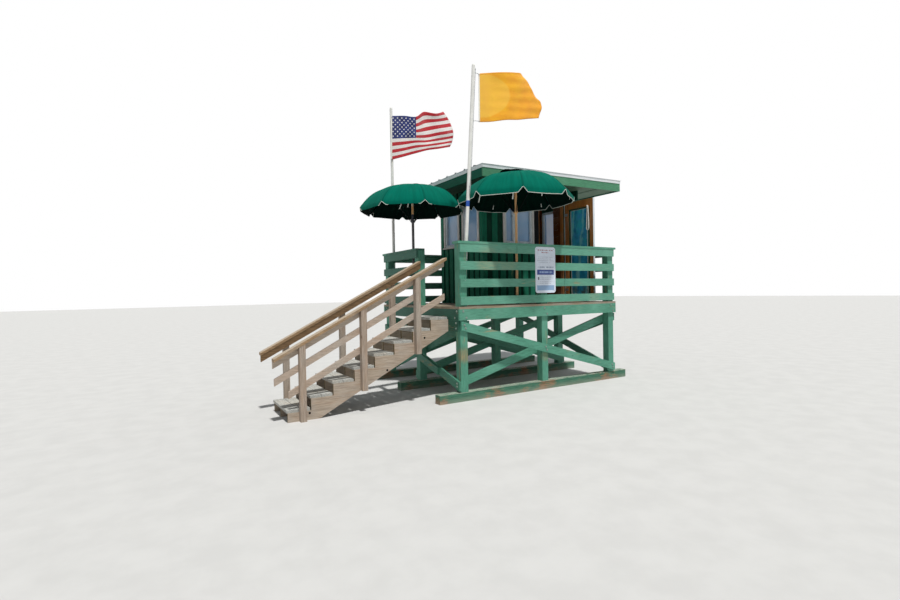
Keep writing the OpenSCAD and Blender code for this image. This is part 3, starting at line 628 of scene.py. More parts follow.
# Painted shade: the same green paint, darkened for the side rails and rims, which face away from
# the light.
shaded_green_side = painted_timber(
    "green_paint_side_painted_shade", (46, 102, 84), 1, (2, 0.291, 1.586), 0.30, seed=2.0,
)
green_posts = painted_timber(
    "green_paint_posts", (88, 156, 132), 2, None, 0.30,
    stains=[((70, 0, 760), 170, 1.0), ((1830, 0, 600), 120, 0.6)], seed=3.0,
)
green_brace = painted_timber("green_paint_braces", (90, 158, 134), 0, None, 0.24, seed=4.0)
# Painted shade: a darker copy of the brace green for the side braces.
shaded_green_brace_side = painted_timber(
    "green_paint_side_braces_painted_shade", (78, 140, 118), 1, None, 0.24, seed=5.0,
)
# Painted shade: the backing that shows between the siding boards is near-black green, for the shade
# in the gaps and on the walls.
shaded_green_wall = painted_timber(
    "green_paint_wall_backing_painted_shade", (8, 60, 44), 2, None, 0.10, seed=6.0, gloss=0.08,
)
green_siding = painted_timber(
    "green_paint_siding", (30, 118, 92), 2, None, 0.14, seed=7.0, gloss=0.08,
)
green_fascia = painted_timber("green_paint_fascia", (82, 146, 112), 0, None, 0.12, seed=8.0)
# Painted shade: the side fascias get a darker copy of the fascia green.
shaded_green_eave = painted_timber("green_paint_eave_painted_shade", (18, 100, 80), 1, None, 0.12, seed=9.0, gloss=0.1)
soffit = painted_timber("soffit_grey_green", (92, 120, 100), 0, None, 0.25, seed=10.0, gloss=0.1)
deck_wood = bare_timber(
    "deck_planks", (178, 164, 142), (128, 112, 90), 0, 0.40, (1, 0.14386, -1.508), 1.0,
    (156, 132, 104),
)
joist_wood = bare_timber("joists", (142, 116, 82), (92, 70, 46), 1, 0.05, None, 2.0)
PINK_SAP = (178, 150, 126)
stringer_wood = notched_timber()
stair_post_wood = bare_timber(
    "stair_posts", (182, 166, 150), (144, 126, 112), 2, 0.12, None, 4.0, PINK_SAP,
)
handrail_wood = handrail_cap_timber()
edge_wood = handrail_edge_timber()
low_rail_wood = bare_timber(
    "lower_rails", (200, 182, 166), (160, 142, 126), 0, 0.12, None, 7.0, PINK_SAP,
)
inner_boards = bare_timber(
    "inner_lining_wood", (132, 72, 28), (76, 36, 12), 0, 0.0, (2, 0.1435, 1.566), 8.0,
    sap=(110, 44, 14), gloss=0.05,
)
inner_upright = bare_timber(
    "door_frame_wood", (188, 122, 50), (136, 78, 24), 2, 0.0, None, 9.0, sap=(150, 80, 24),
)
# White trim, tinted blue as painted skylight: the blue of shade under open sky.
trim_wood = bare_timber(
    "window_trim_painted_skylight", (240, 248, 254), (208, 220, 230), 2, 0.05, None, 10.0, sap=(208, 210, 210),
)
white_trim = coated(
    "casing_white_paint", ((214, 210, 208), (234, 230, 228), (170, 146, 128)), 0.5, 0.8, 5.0,
)
door_skin = painted_timber("door_skin_paint", (30, 86, 66), 2, None, 0.2, seed=11.0)
skid_wood = skid_timber()
tread_wood = tread_timber()
roof_metal = roof_sheet("roof_coated_metal", (186, 192, 196), (210, 214, 216))
roof_edge = roof_sheet("roof_edge_metal", (218, 224, 228), (242, 246, 248))
pole_wood = pole_timber("sunshade_pole_varnish", (240, 194, 138), (208, 152, 96), sleeve=True)
# Painted shade: the ribs inside the canopies are wood darkened to near black.
shaded_rib_wood = pole_timber("sunshade_rib_wood", (8, 14, 12), (4, 9, 7), (12, 18, 15), gloss=0.05)
cloth_top = canopy_cloth("canopy_woven_green", (0, 112, 94), (0, 100, 84), 0.04)
# Painted shade: the canopy underside is the top's green darkened to near black.
shaded_cloth_under = canopy_cloth("canopy_underside_painted_shade", (2, 34, 26), (1, 22, 17), 0.0)
binding_tape = coated(
    "canopy_binding_tape", ((206, 214, 206), (226, 230, 222), (150, 160, 150)), 0.8, 0.6, 20.0,
)
flag_yellow = flag_cloth_plain()
flag_stripes = flag_cloth_striped()
sign_sheet = sign_print()
panel_paint = panel_art()
glass = pane_glass()
white_pole = coated(
    "flagpole_white_paint", ((226, 226, 222), (240, 240, 236), (150, 146, 138)), 0.35, 0.7, 6.0,
    Coat_Weight=0.3,
)
black_plank = coated(
    "plank_black_paint", ((8, 10, 13), (18, 20, 24), (50, 50, 50)), 0.5, 0.6, 7.0,
    Specular_IOR_Level=0.1,
)
bolt_zinc = coated(
    "bolt_galvanised", ((120, 140, 130), (158, 172, 164), (130, 96, 70)), 0.5, 0.5, 60.0,
    Metallic=0.3,
)
steel = coated(
    "hinge_plated_steel", ((170, 172, 176), (200, 202, 204), (140, 100, 70)), 0.3, 0.5, 40.0,
    Metallic=0.85,
)
dark_tube = coated(
    "pole_dark_sleeve", ((64, 62, 64), (92, 90, 92), (130, 126, 122)), 0.4, 0.6, 18.0, Metallic=0.2,
)
blue_tape = coated(
    "blue_tape_band", ((20, 70, 160), (40, 96, 190), (120, 150, 200)), 0.55, 0.5, 30.0,
)
rope_white = twisted_rope("rope_off_white", (248, 246, 240), (206, 200, 190))
line_dark = twisted_rope("halyard_grey_line", (120, 122, 126), (76, 78, 84))

CARRIED = {
    "skids": skid_wood, "posts": green_posts, "rims_long": green_long, "rims_side": shaded_green_side,
    "deck_joists": joist_wood, "deck_boards": deck_wood, "braces_long": green_brace,
    "braces_side": shaded_green_brace_side, "stair_stringers": stringer_wood, "stair_treads": tread_wood,
    "stair_posts": stair_post_wood, "stair_caps": handrail_wood, "stair_edge_boards": edge_wood,
    "stair_low_rails": low_rail_wood,
    "rail_boards_long": green_front, "rail_boards_side": shaded_green_side,
    "rail_caps_long": green_long, "rail_caps_side": shaded_green_side, "hut_front_wall": shaded_green_wall,
    "jamb_plank": black_plank, "hut_door_header": shaded_green_wall, "door_casing": trim_wood,
    "hut_left_wall": shaded_green_wall, "hut_right_wall": shaded_green_wall, "hut_back_wall": shaded_green_wall,
    "window_frames": trim_wood, "window_glass": glass, "hinge_pins": steel, "hinge_leaves": steel,
    "door_leaf": inner_upright, "door_panel": panel_paint, "roof_rafters": soffit,
    "roof_fascias_long": green_fascia, "roof_fascias_side": shaded_green_eave, "roof_sheathing": soffit,
    "roof_trim": roof_edge, "roof_metal": roof_metal, "shade_poles": pole_wood,
    "shade_ribs": shaded_rib_wood, "flagpoles": white_pole, "sign_plate": sign_sheet,
}
for node, finish in CARRIED.items():
    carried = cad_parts[node]
    if not carried.material_slots:
        carried.data.materials.append(None)
    for slot in carried.material_slots:
        slot.material = finish


# ---- Making pieces


def piece(name, bm, finish, body=TOWER, smooth=False):
    """Turns a bmesh into a piece that rides on a body."""
    bmesh.ops.recalc_face_normals(bm, faces=bm.faces)
    mesh = bpy.data.meshes.new(name)
    bm.to_mesh(mesh)
    bm.free()
    for one in finish if isinstance(finish, (list, tuple)) else [finish]:
        mesh.materials.append(one)
    for face in mesh.polygons:
        face.use_smooth = smooth
    made = bpy.data.objects.new(name, mesh)
    bpy.context.scene.collection.objects.link(made)
    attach(made, body)
    return made


def board(bm, a, b, ease=2.5):
    """A plank between two corners, with eased edges."""
    low = site(*(min(p, q) for p, q in zip(a, b)))
    high = site(*(max(p, q) for p, q in zip(a, b)))
    verts = bmesh.ops.create_cube(bm, size=1)["verts"]
    bmesh.ops.scale(bm, vec=high - low, verts=verts)
    bmesh.ops.translate(bm, vec=(low + high) / 2, verts=verts)
    if ease:
        edges = list({edge for vert in verts for edge in vert.link_edges})
        bmesh.ops.bevel(
            bm, geom=edges, offset=ease / 1000, offset_type="OFFSET", segments=1,
            profile=0.5, affect="EDGES", material=-1,
        )


def boards(name, finish, corners, ease=2.5, body=TOWER):
    """One piece of planks, each between two corners."""
    bm = bmesh.new()
    for a, b in corners:
        board(bm, a, b, ease)
    return piece(name, bm, finish, body)


def turned(direction):
    """A rotation that takes +Z to a direction."""
    return Vector((0, 0, 1)).rotation_difference(Vector(direction)).to_matrix().to_4x4()


def disc(bm, at, direction, radius, depth, sides=12, top=None):
    """A short prism standing on a surface point."""
    place = Matrix.Translation(site(*at)) @ turned(direction)
    bmesh.ops.create_cone(
        bm, cap_ends=True, cap_tris=False, segments=sides, radius1=radius / 1000,
        radius2=(radius if top is None else top) / 1000, depth=depth / 1000,
        matrix=place @ Matrix.Translation((0, 0, depth / 2000)),
    )


def bolt(bm, at, direction):
    """A washer with a hexagonal head on it."""
    disc(bm, at, direction, 19, 3, 16)
    lift = Vector(direction) * 3
    disc(bm, tuple(Vector(at) + lift), direction, 12, 9, 6, 11)


def screw(bm, at, direction, radius=5):
    disc(bm, at, direction, radius, 1.6, 8, radius * 0.8)


def left_over(low, high, holes):
    """The stretches between low and high that no hole covers."""
    parts, at = [], low
    for a, b in sorted(holes):
        if a > at:
            parts.append((at, min(a, high)))
        at = max(at, b)
    if at < high:
        parts.append((at, high))
    return [p for p in parts if p[1] - p[0] > 25]


class Wall:
    """One face of the hut. It runs along X or Y at a plane, and faces out."""

    def __init__(self, axis, plane, out, span, windows):
        self.axis, self.plane, self.out = axis, plane, out
        self.span, self.windows = span, windows

    def slab(self, bm, u0, u1, z0, z1, t0, t1, ease=2.0):
        near, far = self.plane + self.out * t0, self.plane + self.out * t1
        if self.axis == "x":
            board(bm, (u0, near, z0), (u1, far, z1), ease)
        else:
            board(bm, (near, u0, z0), (far, u1, z1), ease)

    def top(self, u):
        return under_roof(u if self.axis == "x" else self.plane) - 8

    def upright(self, bm, pitch, width, thick, skip=()):
        """Board and gap siding, cut round the windows."""
        count = int((self.span[1] - self.span[0]) / pitch)
        start = self.span[0] + ((self.span[1] - self.span[0]) - count * pitch) / 2
        for k in range(count):
            u0 = start + k * pitch + (pitch - width) / 2
            for a, b in left_over(u0, u0 + width, skip):
                holes = [
                    (SILL - 52, HEAD + 52) for w in self.windows if a < w[1] + 50 and b > w[0] - 50
                ]
                for z0, z1 in left_over(DECK_H + 1, self.top(min(a, b)), holes):
                    self.slab(bm, a, b, z0, z1, 0, thick)

    def lining(self, bm, thick, holes, top):
        """Level lining boards, cut round the windows and the holes."""
        holes = [(w[0], w[1], SILL, HEAD) for w in self.windows] + holes
        z = DECK_H + 6
        while z < top - 40:
            high = min(z + 142, top)
            cut = [(h[0] - 4, h[1] + 4) for h in holes if z < h[3] + 4 and high > h[2] - 4]
            for a, b in left_over(self.span[0], self.span[1], cut):
                self.slab(bm, a, b, z, high, 0, thick, 3.0)
            z += 143.5

    def casing(self, bm, w, width, thick):
        """Boards round a window and a sill under it."""
        self.slab(bm, w[0] - width, w[0], SILL - 4, HEAD + width, 0, thick)
        self.slab(bm, w[1], w[1] + width, SILL - 4, HEAD + width, 0, thick)
        self.slab(bm, w[0] + 1, w[1] - 1, HEAD, HEAD + width, 0, thick)
        self.slab(bm, w[0] - width - 12, w[1] + width + 12, SILL - 34, SILL - 5, 0, thick + 26)


def hut_dressing():
    front = Wall("x", HUT[1], -1, (HUT[0] + 92, DOORWAY[0]), [FRONT_WINDOW])
    back = Wall("x", HUT[3], 1, (HUT[0] + 92, HUT[2] - 92), BACK_WINDOWS)
    left = Wall("y", HUT[0], -1, (HUT[1] + 92, HUT[3] - 92), SIDE_WINDOWS)
    right = Wall("y", HUT[2], 1, (HUT[1] + 92, HUT[3] - 92), SIDE_WINDOWS)
    bm = bmesh.new()
    front.upright(bm, 196, 132, 16, [(2655, 2800)])
    for wall in (back, left, right):
        wall.upright(bm, 196, 132, 16)
    piece("hut_siding_boards", bm, green_siding)
    bm = bmesh.new()
    for x, sx in ((HUT[0], 1), (HUT[2], -1)):
        for y, sy in ((HUT[1], 1), (HUT[3], -1)):
            top = under_roof(min(x, x - sx * 20)) - 8
            board(bm, (x - sx * 20, y + sy * 0.5, DECK_H + 1), (x, y + sy * 88, top))
            if (sx, sy) != (-1, 1):
                board(bm, (x - sx * 20, y - sy * 20, DECK_H + 1), (x + sx * 88, y, top))
    board(
        bm, (DOORWAY[0] - 60, HUT[1] - 20, DOORWAY[2] + 24),
        (HUT[2] - 40, HUT[1], DOORWAY[2] + 130),
    )
    piece("hut_corner_boards", bm, green_siding)
    bm = bmesh.new()
    front.casing(bm, FRONT_WINDOW, 44, 22)
    for wall in (back, left, right):
        for w in wall.windows:
            wall.casing(bm, w, 44, 22)
    piece("window_casings", bm, white_trim)
    x0, y0, x1, y1 = HUT[0] + 90, HUT[1] + 90, HUT[2] - 90, HUT[3] - 90
    near, far, lintel = DOORWAY
    along, across = (x0 + 12, x1 - 12), (y0 + 1, y1 - 1)
    bm = bmesh.new()
    for wall, holes in (
        (Wall("x", y0, 1, along, [FRONT_WINDOW]), [(near, far, DECK_H, lintel)]),
        (Wall("x", y1, -1, along, BACK_WINDOWS), []),
        (Wall("y", x0, 1, across, SIDE_WINDOWS), []),
        (Wall("y", x1, -1, across, [(1520, SIDE_WINDOWS[0][1]), SIDE_WINDOWS[1]]), []),
    ):
        wall.lining(bm, 10, holes, under_roof(x0) - 12)
    piece("hut_inner_lining", bm, inner_boards)
    y0, y1 = HUT[1] + 4, HUT[1] + 88
    boards("doorway_lining", inner_upright, [
        ((near + 1, y0, DECK_H + 1), (near + 19, y1, lintel - 20)),
        ((far - 19, y0, DECK_H + 1), (far - 1, y1, lintel - 20)),
        ((near + 1, y0, lintel - 19), (far - 1, y1, lintel - 1)),
        ((near + 20, y0, DECK_H + 1), (far - 20, y1, DECK_H + 16)),
    ])
    boards("front_window_infill", inner_boards, [(
        (FRONT_WINDOW[0] + 8, HUT[1] + 92, SILL + 4),
        (FRONT_WINDOW[0] + 250, HUT[1] + 104, HEAD - 4),
    )])
    bm = bmesh.new()
    for k in range(1, 6):
        u = k * ROOF_W / 6
        for v0, v1 in ((34, HUT[1] - ROOF[1] - 26), (HUT[3] - ROOF[1] + 26, ROOF_L - 34)):
            a, b = on_roof(u - 22, v0, -17), on_roof(u + 22, v1, -9)
            board(bm, (a[0], a[1], max(a[2], b[2]) - 9), (b[0], b[1], max(a[2], b[2]) - 0.5), 1.5)
    piece("soffit_strips", bm, soffit)


def fasteners():
    bm = bmesh.new()
    front, back, left, right = (0, -1, 0), (0, 1, 0), (-1, 0, 0), (1, 0, 0)
    for x in ROW_X:
        for dx, z in ((38, 1486), (100, 1376)):
            bolt(bm, (x + dx, -38, z), front)
            bolt(bm, (x + dx, DECK_D + 38, z), back)
        u = x + 70
        for dz in (-28, 28):
            bolt(bm, (u - dz * 0.4, -38, brace_height(FRONT_BRACE, u) + dz), front)
            bolt(bm, (u - dz * 0.4, DECK_D + 38, brace_height(BACK_BRACE, u) + dz), back)
    for y in ROW_Y:
        for dy, z in ((38, 1486), (100, 1376)):
            bolt(bm, (-38, y + dy, z), left)
            bolt(bm, (DECK_W + 38, y + dy, z), right)
        v = y + 70
        for dz in (-26, 26):
            bolt(bm, (-38, v, brace_height(LEFT_BRACE, v) + dz), left)
            bolt(bm, (DECK_W + 38, v, brace_height(RIGHT_BRACE, v) + dz), right)
    for y in (70, 1470):
        for z in (1200, 1290):
            bolt(bm, (-38, y, z), left)
    piece("coach_bolts", bm, bolt_zinc)
    bm = bmesh.new()
    for x in ROW_X:
        for z in RAIL_Z:
            for dz in (-42, 42):
                screw(bm, (x + 70 + dz * 0.5, -38, z + dz), front, 6)
                screw(bm, (x + 70 - dz * 0.5, DECK_D + 38, z + dz), back, 6)
    for z in RAIL_Z:
        for dz in (-42, 42):
            for y in (1500, 2870):
                screw(bm, (-38, y + dz * 0.5, z + dz), left, 6)
            for y in (70, 1130):
                screw(bm, (DECK_W + 38, y + dz * 0.5, z + dz), right, 6)
    for k in range(21):
        y = -38 + k * 143.86 + 69.4
        for x in (-19, 500, 860, 1220, 1580, 1830, 2080, 2440, 2800, 3160, 3679):
            for dy in (-45, 45):
                clear = y + dy > 8 and y + dy < DECK_D - 8
                if not clear and 0 < x < DECK_W:
                    continue
                if x == 1830 and HUT[1] < y + dy < HUT[3]:
                    continue
                screw(bm, (x, y + dy, DECK_H), (0, 0, 1))
    for k in range(1, 9):
        z = DECK_H - k * RISE
        for s in (0, 1):
            for y in (STAIR_Y + 19, STAIR_Y + STAIR_W / 2, STAIR_Y + STAIR_W - 19):
                for dx in (40, 124):
                    screw(bm, (STAIR_X - k * GOING + s * 168.5 - 15 + dx, y, z), (0, 0, 1))
    for x in range(100, 3600, 385):
        screw(bm, (x, 20, CAP_Z + 38), (0, 0, 1), 6)
        screw(bm, (x, DECK_D - 20, CAP_Z + 38), (0, 0, 1), 6)
    piece("deck_and_rail_screws", bm, bolt_zinc)
    bm = bmesh.new()
    up = (-math.sin(ROOF_TILT), 0, math.cos(ROOF_TILT))
    for k in range(8):
        for dv in (-62, 62):
            for m in range(7):
                at = on_roof(90 + m * 576, 250 + k * 320 + dv, ROOF_TOP + 4)
                disc(bm, at, up, 11, 2, 12)
                disc(bm, tuple(Vector(at) + Vector(up) * 2), up, 6, 6, 6)
    piece("roof_sheet_screws", bm, bolt_zinc)
    bm = bmesh.new()
    # Painted shade: black discs stand in for the shade in the bolt recesses.
    for x, z in ((-494, 1063), (-1168, 597), (-2393, 99)):
        for y, way in ((STAIR_Y, front), (STAIR_Y + STAIR_W, back)):
            disc(bm, (x, y, z), way, 17, 1.5, 20)
    piece("stair_bolt_recesses_painted_shade", bm, black_plank)
    bm = bmesh.new()
    for u in (36, 444):
        for w in (40, 790):
            disc(bm, (SIGN[0] + u, -44, SIGN[1] + w), front, 9, 2.5, 14, 8)
    piece("sign_screws", bm, steel)


def splices():
    """A board beside a worn brace, and cover strips over the rail's joints."""
    bm = bmesh.new()
    board(bm, (-76, 640, -70), (-38.4, 1380, 70), 3)
    tilt = Matrix.Translation(site(-57, 1010, brace_height(LEFT_BRACE, 1010)))
    tilt = tilt @ Matrix.Rotation(math.atan(LEFT_BRACE[1]), 4, "X")
    tilt = tilt @ Matrix.Translation(-site(-57, 1010, 0))
    bmesh.ops.transform(bm, matrix=tilt, verts=list(bm.verts))
    piece("brace_splice_board", bm, shaded_green_brace_side)
    boards("rail_joint_lines", black_plank, [
        ((x, -39.4, z - 69), (x + 3, -37.9, z + 69))
        for x, z in ((1176, RAIL_Z[0]), (2300, RAIL_Z[2]))
    ], 0)


# ---- Sunshades

PANEL = math.radians(45)
HALF_PANEL = PANEL / 2
VENT_OPEN = 204  # degrees, where the right vent gapes
FLAP_R = 320


def dome(t):
    """How far the cloth falls at a share of the radius, as a share of its rise."""
    return t ** 2.4


def rim_notch(arc):
    """How much of the valance is left near a rib, 0 at the rib."""
    return min(1.0, max(0.0, (abs(arc) - 6) / 72))


def from_rib(angle):
    """The angle from the nearest rib."""
    return (angle % PANEL) - HALF_PANEL


def hem_share(at):
    """The left valance is partly turned under."""
    return 1.0 if at == SHADES[0] else 0.74


def shade_site(at, point):
    """A point of a sunshade, turned about its pole, in the shared frame."""
    turn = math.radians(SHADE_TURN[SHADES.index(at)])
    c, s = math.cos(turn), math.sin(turn)
    return site(
        at[0] + point.x * c - point.y * s, at[1] + point.x * s + point.y * c, SHADE_PEAK + point.z,
    )


def gap(angle, at, middle, width):
    """1 where a sunshade's cloth faces a direction of the frame, fading to the sides."""
    turn = math.radians(middle - SHADE_TURN[SHADES.index(at)])
    return math.exp(-(((angle - turn + math.pi) % math.tau - math.pi) / width) ** 2)


def cloth_point(at, radius, angle, drop=0.0, ripple=1.0, seed=0):
    """Where the cloth lies at a rib radius and angle, drop below the dome's rim."""
    right = at == SHADES[0]
    off = ((angle - HALF_PANEL) / PANEL) % 1.0
    phi = HALF_PANEL - min(off, 1 - off) * PANEL
    chord = math.cos(HALF_PANEL) / math.cos(phi)
    t = min(1.0, radius / SHADE_R)
    between = max(0.0, math.cos(4 * phi))
    slack = math.sin(math.pi * t) * between
    loft = (38 if right else 58) * math.sin(math.pi * t ** 2.2)
    around = Vector((math.cos(angle) * 3 + seed, math.sin(angle) * 3, t * 5.5))
    wrinkle = noise.noise(around) * 13 * t
    crease = math.sin(math.tau * t * 2.6 + 1.7 * math.sin(angle * 2 + seed)) * t * between
    crease *= 9 if right else 6
    sag = 0
    if right:
        sag = 92 * gap(angle, at, VENT_OPEN, 0.6) * min(1.0, max(0.0, 1 - (radius - 300) / 300))
    z = 3.6 - DOME_RISE * dome(t) - drop + ripple * (
        13 * slack + loft - sag + crease + wrinkle * between * 0.8
    )
    reach = radius * chord * (1 + 0.010 * drop / VALANCE)
    return Vector((math.cos(angle) * reach, math.sin(angle) * reach, z))


def spun(rows, steps):
    """A surface of revolution, from rows of a radius and a drop."""
    bm = bmesh.new()
    verts = [bm.verts.new((r / 1000, 0, -d / 1000)) for r, d in rows]
    edges = [bm.edges.new(pair) for pair in zip(verts, verts[1:])]
    bmesh.ops.spin(
        bm, geom=verts + edges, cent=(0, 0, 0), axis=(0, 0, 1), dvec=(0, 0, 0),
        angle=math.tau, steps=steps, use_merge=True, use_duplicate=False,
    )
    return bm


def polar(co):
    """The radius and the angle of a point of a spun surface."""
    return math.hypot(co.x, co.y) * 1000, math.atan2(co.y, co.x) % math.tau


def thicken(made, thickness, offset=0.0):
    thick = made.modifiers.new("cloth_thickness", "SOLIDIFY")
    thick.thickness, thick.offset = thickness, offset
    return thick


def canopy_cloth_piece(name, bm):
    """A cloth with a finish on each side, and its area. The underside's finish is painted shade,
    near black.
    """
    for face in bm.faces:
        face.smooth = True
    area = sum(face.calc_area() for face in bm.faces)
    made = piece(name, bm, [cloth_top, shaded_cloth_under], smooth=True)
    thick = thicken(made, 0.0018, 1.0)
    thick.material_offset, thick.material_offset_rim = 1, 0
    return made, area


def canopy(name, at, seed):
    """One cloth from the vent to the rim and down the valance, notched at the ribs."""
    radii = [150 + (SHADE_R - 150) * (k / 22) for k in range(23)]
    rows = [(r, 0.0) for r in radii] + [(SHADE_R, VALANCE * k / 5) for k in range(1, 6)]
    bm = spun(rows, 160)
    uv = bm.loops.layers.uv.new("cloth")
    flat = {}
    for vert in bm.verts:
        radius, angle = polar(vert.co)
        drop = -vert.co.z * 1000 * rim_notch(from_rib(angle) * SHADE_R) * hem_share(at)
        flat[vert] = (angle, radius, drop)
        vert.co = shade_site(at, cloth_point(at, radius, angle, drop, 1.0, seed))
    for face in bm.faces:
        angles = [flat[loop.vert][0] for loop in face.loops]
        wrap = max(angles) - min(angles) > math.pi
        for loop in face.loops:
            angle, radius, drop = flat[loop.vert]
            if wrap and angle < math.pi:
                angle += math.tau
            loop[uv].uv = ((angle / PANEL - 0.5) * 0.8, (radius + drop) / 1000)
    return canopy_cloth_piece(name, bm)


def rim_line(name, at, seed):
    """Binding tape along the valance's edge. On the left one it shows only at the notches."""

    def edge(angle):
        drop = VALANCE * hem_share(at) * rim_notch(from_rib(angle) * SHADE_R)
        return shade_site(at, cloth_point(at, SHADE_R, angle, drop, 1.0, seed))

    if at == SHADES[0]:
        ring = [edge(math.tau * k / 480) for k in range(480)]
        return tube(name, [ring], 4.6, binding_tape, closed=True)
    paths = []
    for k in range(8):
        thirds = range(-16 - 3 * (k % 2), 17 + 4 * (k % 3))
        paths.append([edge(HALF_PANEL + PANEL * k + math.radians(a / 3)) for a in thirds])
    return tube(name, paths, 4.6, binding_tape)


def tube(name, paths, radius, finish, body=TOWER, closed=False, sides=2):
    """Round lines along paths, each a list of points in metres."""
    curve = bpy.data.curves.new(name, "CURVE")
    curve.dimensions, curve.bevel_depth, curve.bevel_resolution = "3D", radius / 1000, sides
    curve.use_fill_caps = True
    for path in paths:
        spline = curve.splines.new("POLY")
        spline.points.add(len(path) - 1)
        for point, place in zip(spline.points, path):
            point.co = (*place, 1)
        spline.use_cyclic_u = closed
    curve.materials.append(finish)
    made = bpy.data.objects.new(name, curve)
    bpy.context.scene.collection.objects.link(made)
    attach(made, body)
    return made


def vent_flap(name, at, seed):
    """The upper cloth that covers the vent, with a fluttering edge."""
    bm = spun([(r, 0) for r in (26, 60, 110, 160, 210, 260, 300, FLAP_R)], 96)
    uv = bm.loops.layers.uv.new("cloth")
    for face in bm.faces:
        for loop in face.loops:
            radius, angle = polar(loop.vert.co)
            loop[uv].uv = (angle / PANEL * 0.8, radius / 1000)
    right = at == SHADES[0]
    for vert in bm.verts:
        radius, angle = polar(vert.co)
        t = radius / FLAP_R
        up = gap(angle, at, VENT_OPEN, 0.7) if right else 0
        lift = 9 + (12 if right else 14) * t + 26 * t * t * up
        lift += 3 * t * (math.sin(4 * angle + seed) + math.sin(9 * angle))
        fall = DOME_RISE * dome(t * FLAP_R / SHADE_R)
        reach = radius * math.cos(from_rib(angle)) / math.cos(HALF_PANEL) * 0.98
        place = Vector((math.cos(angle) * reach, math.sin(angle) * reach, lift - fall + 3))
        vert.co = shade_site(at, place)
    return canopy_cloth_piece(name, bm)


def ties(name, at, seed):
    """White straps that hang inside the rim."""
    bm = bmesh.new()
    straps = (
        ((195, 62, 200), (228, 58, 205), (259, 60, 150), (20, 60, 70), (330, 60, 60), (80, 60, 80)),
        ((231.5, 70, 172), (237.5, 66, 146), (269, 40, 70), (120, 60, 70), (30, 60, 60)),
    )[SHADES.index(at)]
    for k, (towards, inset, length) in enumerate(straps):
        angle = math.radians(towards - SHADE_TURN[SHADES.index(at)])
        place = cloth_point(at, SHADE_R - inset, angle, 30, 0.0, seed)
        out = Vector((math.cos(angle), math.sin(angle), 0))
        side = Vector((-math.sin(angle), math.cos(angle), 0))
        for vert in bmesh.ops.create_grid(bm, x_segments=1, y_segments=8, size=0.5)["verts"]:
            w, v = vert.co.x * 20, (0.5 - vert.co.y) * length
            swing = math.sin(v / length * 2.4 + k) * 9 - (0.45 * v if k == 0 else 0)
            vert.co = shade_site(
                at, place + side * (w + swing) - out * abs(swing) * 0.4 - Vector((0, 0, v)),
            )
    made = piece(name, bm, binding_tape, smooth=True)
    thick = made.modifiers.new("strap_thickness", "SOLIDIFY")
    thick.thickness, thick.offset = 0.0022, 0.0
    return made


def sunshades():
    for n, at in enumerate(SHADES):
        tag = ("right", "left")[n]
        seed = 3.1 * n
        cloth, area = canopy(f"canopy_{tag}", at, seed)
        flap, flap_area = vent_flap(f"canopy_vent_{tag}", at, seed)
        binding = rim_line(f"canopy_binding_{tag}", at, seed)
        seams = []
        for k in range(8):
            angle = HALF_PANEL + PANEL * k
            seams.append([
                shade_site(at, cloth_point(at, r, angle, 0, 1.0, seed) + Vector((0, 0, 1.4)))
                for r in range(165, SHADE_R + 1, 22)
            ])
        seam = tube(f"canopy_seams_{tag}", seams, 2.6, cloth_top)
        straps = ties(f"canopy_ties_{tag}", at, seed)
        bm = bmesh.new()
        collars = (
            (SHADE_PEAK + 24, 34, 10), (SHADE_PEAK - 690, 30, 34),
            (DECK_H + 2, 62, 8), (DECK_H + 8, 33, 60),
        )
        for height, radius, depth in collars:
            disc(bm, (*at, height), (0, 0, 1), radius, depth, 32, radius * 0.92)
        fittings = piece(f"sunshade_collars_{tag}", bm, dark_tube, smooth=False)
        round(min(flap_area, 0.43), 3)
        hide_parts("shade_canopies")
        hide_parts("shade_vents")
    bm = bmesh.new()
    disc(bm, (*SHADES[1], DECK_H + 70), (0, 0, 1), 26, 1630, 32)
    piece("left_pole_sleeve", bm, dark_tube, smooth=False)


# ---- Flags


def cloth_patch(rows, u, v):
    """A smooth sheet through rows of points: the top row first, each from the pole outwards."""

    def along(points, t):
        points = [points[0] * 2 - points[1]] + points + [points[-1] * 2 - points[-2]]
        t = min(0.99999, max(0.0, t)) * (len(points) - 3)
        k = int(t)
        a, b, c, d = points[k:k + 4]
        t -= k
        return b + (c - a + (a * 2 - b * 5 + c * 4 - d + ((b - c) * 3 + d - a) * t) * t) * (0.5 * t)

    return along([along([Vector(point) for point in row], u) for row in rows], 1 - v)


def flag_mesh(name, width, height, place, finish):
    bm = bmesh.new()
    bmesh.ops.create_grid(bm, x_segments=84, y_segments=60, size=0.5)
    uv = bm.loops.layers.uv.new("cloth")
    for face in bm.faces:
        for loop in face.loops:
            loop[uv].uv = ((loop.vert.co.x + 0.5) * width, (loop.vert.co.y + 0.5) * height)
    for vert in bm.verts:
        vert.co = place(vert.co.x + 0.5, vert.co.y + 0.5)
    for face in bm.faces:
        face.smooth = True
    mesh = bpy.data.meshes.new(name)
    bm.to_mesh(mesh)
    bm.free()
    mesh.materials.append(finish)
    made = bpy.data.objects.new(name, mesh)
    bpy.context.scene.collection.objects.link(made)
    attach(made, TOWER)
    thicken(made, 0.0012)
    return made


